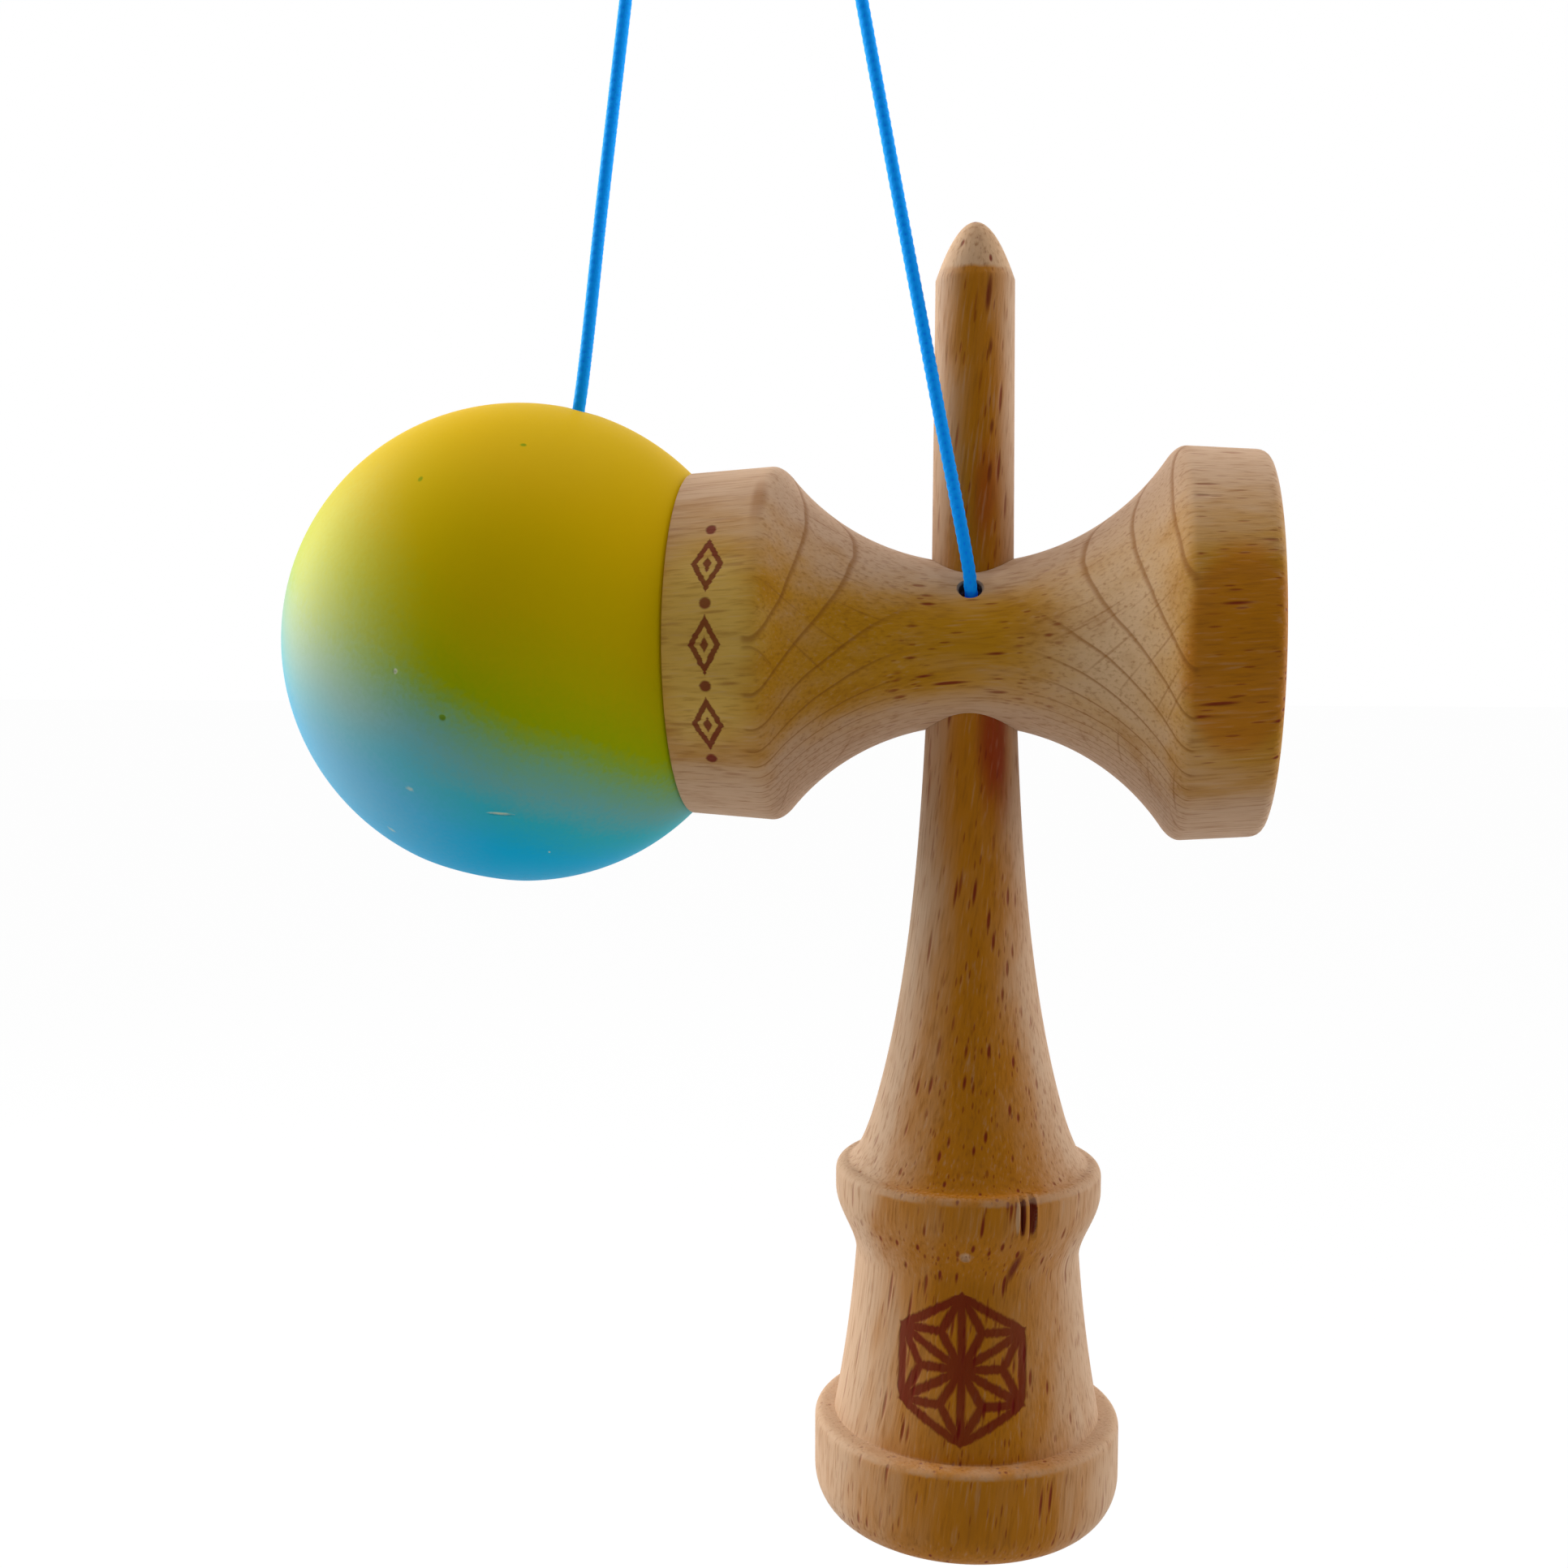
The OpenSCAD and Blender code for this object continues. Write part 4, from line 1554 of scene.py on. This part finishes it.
@dataclass
class StringRun:
    """The cord from the ken's hole, over the hang point, to the knot under the bead.

    The route repeats the solids' own points, and bight_half, half the width of the loop that bends, is not
    used.
    """

    shop: Workshop
    ball: Tama
    ken: Ken
    diameter: float = 0.0015
    bead_h: float = 0.007
    bead_gap: float = 0.00025
    bight_half: float = 0.006
    route: tuple[Point, ...] = (
        (0.0304, -0.0059, -0.1247), (0.0305, -0.0066, -0.1241), (0.0304, -0.0073, -0.123),
        (0.0303, -0.0076, -0.1217), (0.026, -0.0063, -0.1), (0.021, -0.0047, -0.075),
        (0.0161, -0.0032, -0.05), (0.0111, -0.0016, -0.025), (0.0059, 0, 0.0012), (0.0048, 0, 0.0036),
        (0.0027, 0, 0.0054), (0.0001, 0, 0.006), (-0.0025, 0, 0.0054), (-0.0047, 0, 0.0038),
        (-0.006, 0, 0.0007), (-0.0092, -0.0005, -0.025), (-0.0123, -0.001, -0.05),
        (-0.0154, -0.0016, -0.075), (-0.0186, -0.0021, -0.1009), (-0.0205, -0.0016, -0.1088),
        (-0.0221, -0.001, -0.1151), (-0.0246, -0.0004, -0.1241),
    )
    per_stretch: int = 12
    knot_points: int = 90
    knot_strand: float = 0.00058
    knot_rise: float = 1.6
    inner_points: int = 12

    def line(self) -> list[Vector]:
        """A smooth line through the route's points.

        Returns:
            The cord's middle line.
        """
        points = [Vector(p) for p in self.route]
        points = [2 * points[0] - points[1]] + points + [2 * points[-1] - points[-2]]
        line: list[Vector] = []
        for before, start, end, after in zip(points, points[1:], points[2:], points[3:]):
            pairs = ((before, start), (start, end), (end, after))
            first, gap, last = (max(MERGE_GAP, (b - a).length) ** 0.5 for a, b in pairs)
            leave = (start - before) / first - (end - before) / (first + gap) + (end - start) / gap
            arrive = (end - start) / gap - (after - start) / (gap + last) + (after - end) / last
            for step in range(self.per_stretch):
                t = step / self.per_stretch
                line.append((2 * t ** 3 - 3 * t ** 2 + 1) * start + (t ** 3 - 2 * t ** 2 + t) * gap * leave
                            + (3 * t ** 2 - 2 * t ** 3) * end + (t ** 3 - t ** 2) * gap * arrive)
        line.append(points[-2])
        return line

    def _knot(self, name: str, place: Matrix, finish: bpy.types.Material) -> bpy.types.Object:
        """A tight overhand knot, a trefoil of the same cord.

        Args:
            name: Name of the piece.
            place: Where its middle and axis are.
            finish: Its material.

        Returns:
            The knot.
        """
        size = (self.ken.knot_d / 2 - self.knot_strand) / 3
        turns = np.linspace(0, TURN, self.knot_points, endpoint=False)
        points = [place @ Vector((size * (math.sin(t) + 2 * math.sin(2 * t)),
                                  size * (math.cos(t) - 2 * math.cos(2 * t)),
                                  -self.knot_rise * size * math.sin(3 * t))) for t in turns]
        return self.shop.braid.lay(name, points, self.knot_strand, finish, True)

    def build(self, finish: bpy.types.Material) -> list[bpy.types.Object]:
        """Args:
            finish: The cord's material.

        Returns:
            The pieces, the long cord first.
        """
        line = self.line()
        length = sum((b - a).length for a, b in zip(line, line[1:]))
        main = self.shop.braid.lay("cord_long", line, self.diameter / 2, finish)
        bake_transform(main)
        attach(main, "sarado")
        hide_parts("string_ken_leg", "string_bight", "string_ball_leg")

        hole = string_hole(self.shop.crossing, self.ken.hole_turn)
        deep = self.ken.knot_depth
        far = self.ken.seat_d / 2 / math.cos(self.ken.hole_turn) - self.diameter
        run = [hole @ Vector((0, 0, -deep + (far + deep) * t)) for t in np.linspace(0, 1, self.inner_points)]
        inner = self.shop.braid.lay("cord_in_ken", run, self.diameter / 2, finish)
        ken_knot = self._knot("knot_in_ken", hole @ Matrix.Translation((0, 0, -deep)), finish)

        bead_low = self.ball.hole_end + self.ball.pocket_h - 2 * self.bead_gap - self.bead_h
        ball_knot = self._knot("knot_under_bead", self.ball.stand(bead_low - self.ken.knot_d / 2), finish)

        for piece, body in ((inner, "ken"), (ken_knot, "ken"), (ball_knot, "ball_string")):
            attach(piece, body)
        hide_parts("string_in_ken")
        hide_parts("string_in_tama")
        pieces = [main, inner, ken_knot, ball_knot]
        return pieces


@dataclass(frozen=True)
class Softbox:
    """A soft lamp.

    Attributes:
        name: Its name.
        place: Where it stands.
        size: Its width and height.
        watts: Its power.
    """

    name: str
    place: Point
    size: tuple[float, float]
    watts: float

    def hang(self, aim: Vector) -> None:
        """Hangs the lamp.

        Args:
            aim: The point it is turned to.
        """
        lamp = bpy.data.lights.new(self.name, "AREA")
        lamp.shape = "RECTANGLE"
        lamp.size, lamp.size_y = self.size
        lamp.energy = self.watts
        holder = bpy.data.objects.new(self.name, lamp)
        holder.location = self.place
        holder.rotation_euler = (aim - Vector(self.place)).to_track_quat("-Z", "Y").to_euler()
        bpy.context.scene.collection.objects.link(holder)


@dataclass
class Studio:
    """A pale floor and white surroundings, soft lamps, and the camera.

    Attributes:
        aim: Middle of the object, which the lamps are turned to.
        eye: Where the camera stands.
        eye_turn: How far the camera is turned to the left.
        eye_tilt: How far the camera looks down.
        lens_mm: Focal length.
        sensor_mm: Width of the film.
        near_clip: Nearest distance that the camera shows.
        floor_z: Height of the floor.
        floor_half: Half the floor's width.
        front_light: Strength of the light from the front.
        back_light: Strength of the light from behind.
        light_fade: Directions, from front to back, between which the light grows.
        shadow_share: How much of the floor's shadow shows.
        paper: Grey level of the floor as the object sees it.
        lamps: The lamps.
    """

    aim: Point = (0.02, 0.0, -0.13)
    eye: Point = (0.03815, -0.218, -0.12966)
    eye_turn: float = 0.142
    eye_tilt: float = 0.081
    lens_mm: float = 40.26
    sensor_mm: float = 36.0
    near_clip: float = 0.01
    floor_z: float = -0.42
    floor_half: float = 8.0
    front_light: float = 0.2
    back_light: float = 0.85
    light_fade: tuple[float, float] = (-0.6, 0.7)
    shadow_share: float = 0.03
    paper: float = 0.5
    lamps: tuple[Softbox, ...] = (
        Softbox("left_softbox", (-0.8, 0.2, 0.15), (0.7, 0.9), 9.6),
        Softbox("right_softbox", (0.85, 0.3, -0.05), (0.6, 0.9), 4.9),
        Softbox("top_softbox", (0.0, 0.05, 0.75), (0.9, 0.7), 3.7),
    )

    def build(self) -> None:
        """Sets up the camera, the lamps, the surroundings and the floor."""
        scene = bpy.context.scene
        scene.view_settings.view_transform = "Standard"
        lens = bpy.data.cameras.new("camera")
        lens.sensor_width = self.sensor_mm
        lens.lens = self.lens_mm
        lens.clip_start = self.near_clip
        camera = bpy.data.objects.new("camera", lens)
        camera.location = self.eye
        camera.rotation_euler = (math.pi / 2 - self.eye_tilt, 0.0, self.eye_turn)
        scene.collection.objects.link(camera)
        scene.camera = camera
        for lamp in self.lamps:
            lamp.hang(Vector(self.aim))
        self._surround(scene)
        self._floor()

    @staticmethod
    def _seen(sheet: Sheet) -> Signal:
        """Finds the rays that show the background as it is: seen, mirrored or through glass.

        Args:
            sheet: The sheet to lay the nodes on.

        Returns:
            1 for those rays and 0 for the others.
        """
        rays = sheet.add("ShaderNodeLightPath")
        seen = sheet.out(rays, "Is Camera Ray") + sheet.out(rays, "Is Glossy Ray")
        return (seen + sheet.out(rays, "Is Transmission Ray")).least(1.0)

    def _surround(self, scene: bpy.types.Scene) -> None:
        """Makes a world that is white to look at and lights more from behind than from the front.

        Args:
            scene: The scene that gets it.
        """
        world = bpy.data.worlds.new("surround")
        world.use_nodes = True
        world.node_tree.nodes.clear()
        scene.world = world
        sheet = Sheet(world.node_tree)
        _, back, _ = sheet.split(sheet.out(sheet.add("ShaderNodeTexCoord"), "Generated"))
        light = self.front_light + back.rise(*self.light_fade) * (self.back_light - self.front_light)
        seen = self._seen(sheet)
        strength = seen + (1 - seen) * light
        glow = sheet.add("ShaderNodeBackground", None, {"Color": WHITE, "Strength": strength})
        sheet.add("ShaderNodeOutputWorld", None, {"Surface": sheet.out(glow)})

    def _floor(self) -> None:
        """A wide pale floor under the hanging toy, white to look at but for a part of its shadow."""
        half, level = self.floor_half, self.floor_z
        mesh = bpy.data.meshes.new("floor")
        square = [(-half, -half, level), (half, -half, level), (half, half, level), (-half, half, level)]
        mesh.from_pydata(square, [], [(0, 1, 2, 3)])
        finish = bpy.data.materials.new("floor_paper")
        finish.use_nodes = True
        finish.node_tree.nodes.clear()
        sheet = Sheet(finish.node_tree)
        seen = self._seen(sheet)
        shade = sheet.tint(seen, (self.paper, self.paper, self.paper, 1.0), WHITE)
        paper = sheet.add("ShaderNodeBsdfDiffuse", None, {"Color": shade})
        white = sheet.add("ShaderNodeEmission", None, {"Color": WHITE, "Strength": 1.0})
        mixed = sheet.add("ShaderNodeMixShader", None,
                          {0: seen * (1 - self.shadow_share), 1: sheet.out(paper), 2: sheet.out(white)})
        sheet.add("ShaderNodeOutputMaterial", None, {"Surface": sheet.out(mixed)})
        mesh.materials.append(finish)
        floor = bpy.data.objects.new("floor", mesh)
        bpy.context.scene.collection.objects.link(floor)


@dataclass(frozen=True)
class Wear:
    """Dents, chips, stains and painted light and shade, where the toy shows them.

    Attributes:
        dark: Dark colour laid in the dents, along the crack and in the dark flecks.
        worn: Pale colour laid on the point, in part a painted highlight, and beside the dents.
        stain: Colour of the stains.
        pale: Painted light on the big cup's flare, which faces the lamp at the left.
        golden: Golden colour of the small cup's band front, where it softens the painted front shade.
        handled: Colour of the big cup's band front, a painted shade.
        shade: Painted shade inside the string's hole.
        yellow: Pale colour at the ball's left, in its yellow part: painted rim light from the left lamp, with
            some overspray.
        blue: Pale colour at the ball's left, in its blue part: painted rim light from the left lamp, with some
            overspray.
        green: Colour of the dots in the paint.
        chip: Colour of the chips in the paint.
        grime: Dark colour along the scratch's lower edge.
        spike_lean: Direction of the dark flecks on the spike.
        crack_run: Direction of the crack under the collar.
        spray: Direction of the chips in the paint.
        hole_depth: Distance from the crossing to the middle of the shade inside the string's hole.
    """

    dark: Colour = screen(104, 22, 8)
    worn: Colour = screen(214, 176, 138)
    stain: Colour = screen(148, 22, 2)
    pale: Colour = screen(214, 180, 140)
    golden: Colour = screen(230, 194, 102)
    handled: Colour = screen(186, 112, 2)
    shade: Colour = screen(36, 20, 8)
    yellow: Colour = screen(226, 228, 112)
    blue: Colour = screen(160, 202, 220)
    green: Colour = screen(112, 150, 0)
    chip: Colour = screen(222, 226, 196)
    grime: Colour = screen(60, 60, 50)
    spike_lean: Point = (0.12, 0.0, 1.0)
    crack_run: Point = (0.38, -0.18, 0.9)
    spray: Point = (1.0, 0.2, -0.1)
    hole_depth: float = 0.009

    def ken_marks(self) -> list[Mark]:
        """The two grooves in the collar and the nick under it.

        Returns:
            The marks.
        """
        return [Mark((0.03745, -0.01503, -0.19690), UP, 0.0052, 0.0006, 0.00045, 0.00012),
                Mark((0.03860, -0.01443, -0.19680), UP, 0.0054, 0.0008, 0.00060, 0.00010),
                Mark((0.03081, -0.01449, -0.20194), UP, 0.0009, 0.0008, 0.00035, 0.00010)]

    def ken_patches(self, tip: Point) -> list[Patch]:
        """Stains on the ken, its pale point, in part a painted highlight, and the colour of its dents.

        Args:
            tip: The ken's point.

        Returns:
            The patches.
        """
        lean = self.spike_lean
        # The point is painted pale, in part a painted highlight where it faces up to the lamps.
        return [Patch(tip, UP, 0.0132, 0.03, self.worn, 0.88, 0.10, 0.9),
                Patch((0.0335, -0.0049, -0.1425), UP, 0.024, 0.0058, self.stain, 0.8, 0.45, 0.2),
                Patch((0.0321, -0.0047, -0.1120), UP, 0.020, 0.0048, self.stain, 0.5, 0.5, 0.1),
                Patch((0.0323, -0.0046, -0.0881), lean, 0.0066, 0.0010, self.dark, 0.9, 0.4, 0.3),
                Patch((0.0325, -0.0045, -0.0946), lean, 0.0032, 0.0008, self.dark, 0.8, 0.4, 0.3),
                Patch((0.0327, -0.0044, -0.1040), lean, 0.0032, 0.0008, self.dark, 0.8, 0.4, 0.3),
                Patch((0.0325, -0.0045, -0.1094), lean, 0.0040, 0.0008, self.dark, 0.8, 0.4, 0.3),
                Patch((0.03690, -0.01528, -0.19690), UP, 0.0058, 0.0007, self.worn, 0.7, 0.1, 0.5),
                Patch((0.03742, -0.01478, -0.19690), UP, 0.0056, 0.0010, self.dark, 0.95, 0.1, 0.8),
                Patch((0.03852, -0.01410, -0.19680), UP, 0.0058, 0.0014, self.dark, 0.95, 0.1, 0.8),
                Patch((0.03650, -0.01310, -0.20345), self.crack_run, 0.0078, 0.0016, self.dark, 0.9, 0.3, 0.35),
                Patch((0.03081, -0.01480, -0.20190), UP, 0.0021, 0.0021, self.worn, 0.85, 0.1, 0.6),
                Patch((0.03095, -0.01458, -0.20190), UP, 0.0011, 0.0010, self.dark, 1.0, 0.1, 0.7)]

    def cross_patches(self, crossing: Vector, hole_turn: float) -> list[Patch]:
        """Painted shade in the string's hole, pale painted light on the big flare, painted shade on both band
        fronts.

        Args:
            crossing: Where the ken's axis crosses the cross-piece's axis.
            hole_turn: How far the string's hole points up.

        Returns:
            The patches.
        """
        out = Vector((0.0, -math.cos(hole_turn), math.sin(hole_turn)))
        hole = crossing + out * self.hole_depth
        flare = crossing + Vector((0.016, -0.017, 0.001))
        small = crossing + Vector((-0.030, -0.0215, 0.0))
        big = crossing + Vector((0.0302, -0.0236, -0.001))
        # Painted shade: a dark spot inside the string's hole.
        return [Patch(tuple(hole), tuple(out), 0.003, 0.0036, self.shade, 0.9, 0.05, 0.8),
                # Painted light: the big cup's flare, which faces the left lamp, is tinted pale.
                Patch(tuple(flare), UP, 0.060, 0.030, self.pale, 0.95, 0.2, 0.1),
                # Painted shade: the fronts of both bands are tinted golden, darker on the big cup.
                Patch(tuple(small), UP, 0.036, 0.018, self.golden, 0.65, 0.3, 0.4),
                Patch(tuple(big), UP, 0.030, 0.0150, self.handled, 0.8, 0.15, 0.75)]

    def ball_marks(self) -> list[Mark]:
        """Chips and the scratch in the paint.

        Returns:
            The marks.
        """
        return [Mark((-0.02286, -0.02278, -0.14953), self.spray, 0.0032, 0.0005, 0.00012, 0.00004),
                Mark((-0.03282, -0.02933, -0.13296), self.spray, 0.0006, 0.0005, 0.00012),
                Mark((-0.02751, -0.02906, -0.13812), self.spray, 0.0008, 0.0007, 0.00010)]

    def ball_patches(self) -> list[Patch]:
        """Pale patches at the left, painted rim light with some overspray, then dots, bare chips and the
        scratch.

        Returns:
            The patches.
        """
        spray, green, chip = self.spray, self.green, self.chip
        high, low = (0.4, -0.5, -0.75), (0.5, -0.3, -0.8)
        # Painted rim light: pale patches at the ball's left, where the left lamp grazes it, with some
        # overspray.
        return [Patch((-0.0455, -0.0222, -0.1246), high, 0.048, 0.036, self.yellow, 0.72, 0.08, 0.0),
                Patch((-0.0452, -0.0205, -0.1420), low, 0.056, 0.046, self.blue, 0.58, 0.08, 0.0),
                Patch((-0.02082, -0.01872, -0.10693), spray, 0.0010, 0.0008, green, 0.8, 0.2, 0.4),
                Patch((-0.03183, -0.02286, -0.11107), spray, 0.0008, 0.0010, green, 0.7, 0.2, 0.4),
                Patch((-0.02751, -0.02906, -0.13812), spray, 0.0011, 0.0010, green, 0.9, 0.2, 0.5),
                Patch((-0.03282, -0.02933, -0.13296), spray, 0.0006, 0.0008, chip, 0.9, 0.1, 0.5),
                Patch((-0.02286, -0.02278, -0.14953), spray, 0.0038, 0.0005, chip, 0.85, 0.3, 0.5),
                Patch((-0.02290, -0.02265, -0.15000), spray, 0.0028, 0.0003, self.grime, 0.8, 0.3, 0.5),
                Patch((-0.03322, -0.02423, -0.14662), spray, 0.0016, 0.0009, chip, 0.5, 0.5, 0.2),
                Patch((-0.03861, -0.01624, -0.15226), spray, 0.0022, 0.0010, chip, 0.45, 0.5, 0.2),
                Patch((-0.01909, -0.01576, -0.15475), (0.2, 0.4, -0.9), 0.0012, 0.0003, chip, 0.8, 0.2, 0.4)]


@dataclass
class Kendama:
    """The whole toy.

    Attributes:
        star_h: Height of the star's middle above the foot.
        row_x: Distance of the lozenges from the ken's axis, towards the big cup.
    """

    frame: Mapping[str, Mapping[str, object]]
    star_h: float = 0.0236
    row_x: float = -0.0295

    def build(self) -> None:
        """Makes every piece, lets it ride on its body and hides the node it stands for."""
        ken_low, ken_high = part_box("ken")
        cross_low, cross_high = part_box("sarado")
        crossing = Vector(((ken_low.x + ken_high.x) / 2, 0.0, (cross_low.z + cross_high.z) / 2))
        shop = Workshop(Lathe(), Braid(), crossing)
        spin = next(j for j in self.frame["joints"] if j["name"] == "tama_spin")
        ball = Tama(shop, Vector(spin["axis"]).normalized())
        ken = Ken(shop)
        self._report(StringRun(shop, ball, ken).build(CordWeave("cord").material))

        wear = Wear()
        ken_wood = self._ken_wood(ken, wear, (crossing.x, crossing.y, ken_high.z))
        cross_tone = BeechTone(gold=screen(196, 138, 14), gold_low=0.3, ring_turn=0.85, slant=0.06,
                               calm=-0.0248, flare=(0.006, 0.014, 0.0248), hollows=(0.0238, 0.021))
        cross_wood = Beech("sarado_beech", Grain.LEVEL, tuple(crossing), cross_tone,
                           wear.cross_patches(crossing, ken.hole_turn), Lozenges((self.row_x, 0.0, 0.0)))
        paint = BallPaint("ball_paint", tuple(ball.middle), wear.ball_patches())
        self._keep(ken.build(ken_wood.material, wear.ken_marks()), "ken", "ken")
        self._keep(Sarado(shop).build(cross_wood.material), "sarado", "sarado")
        self._keep(ball.build(paint.material, wear.ball_marks()), "tama", "tama")
        bead = self.frame["nodes"]["bead"]
        bead.data.materials.clear()
        bead.data.materials.append(BeadWood("bead_wood").material)
        self._report([bead])

    def _ken_wood(self, ken: Ken, wear: Wear, tip: Point) -> Beech:
        """The ken's finish.

        Args:
            ken: The ken, for its heights.
            wear: Its stains, rubbed places and painted light.
            tip: Its point.

        Returns:
            The finish, with highlights painted along the edges of the foot ring and the collar.
        """
        foot = ken.foot - ken.shop.crossing.z
        # Heights of the painted edge highlights on the foot ring and the collar.
        edges = (foot + ken.foot_h - ken.foot_edge / 5, foot + ken.collar_high - ken.collar_edge / 2)
        tone = BeechTone(gold_turn=0.12, ring_turn=-1.25, ring_strength=0.3, slant=0.12, worn=edges)
        return Beech("ken_beech", Grain.UPRIGHT, tuple(ken.shop.crossing), tone, wear.ken_patches(tip),
                     LeafStar((0.0, 0.0, foot + self.star_h)))

    def _keep(self, piece: bpy.types.Object, body: str, node: str) -> None:
        """Puts a piece in its node's place.

        Args:
            piece: The piece.
            body: The body it rides on.
            node: The node it stands for.
        """
        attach(piece, body)
        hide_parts(node)
        self._report([piece])

    @staticmethod
    def _report(pieces: Sequence[bpy.types.Object]) -> None:
        """Logs each piece."""
        for piece in pieces:
            LOG.info("%s: %d faces", piece.name, len(piece.data.polygons))


def main() -> None:
    """Loads the frame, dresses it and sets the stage."""
    logging.basicConfig(level=logging.INFO, format="%(name)s: %(message)s")
    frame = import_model()
    Kendama(frame).build()
    Studio().build()
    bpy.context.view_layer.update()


if __name__ == "__main__":
    main()
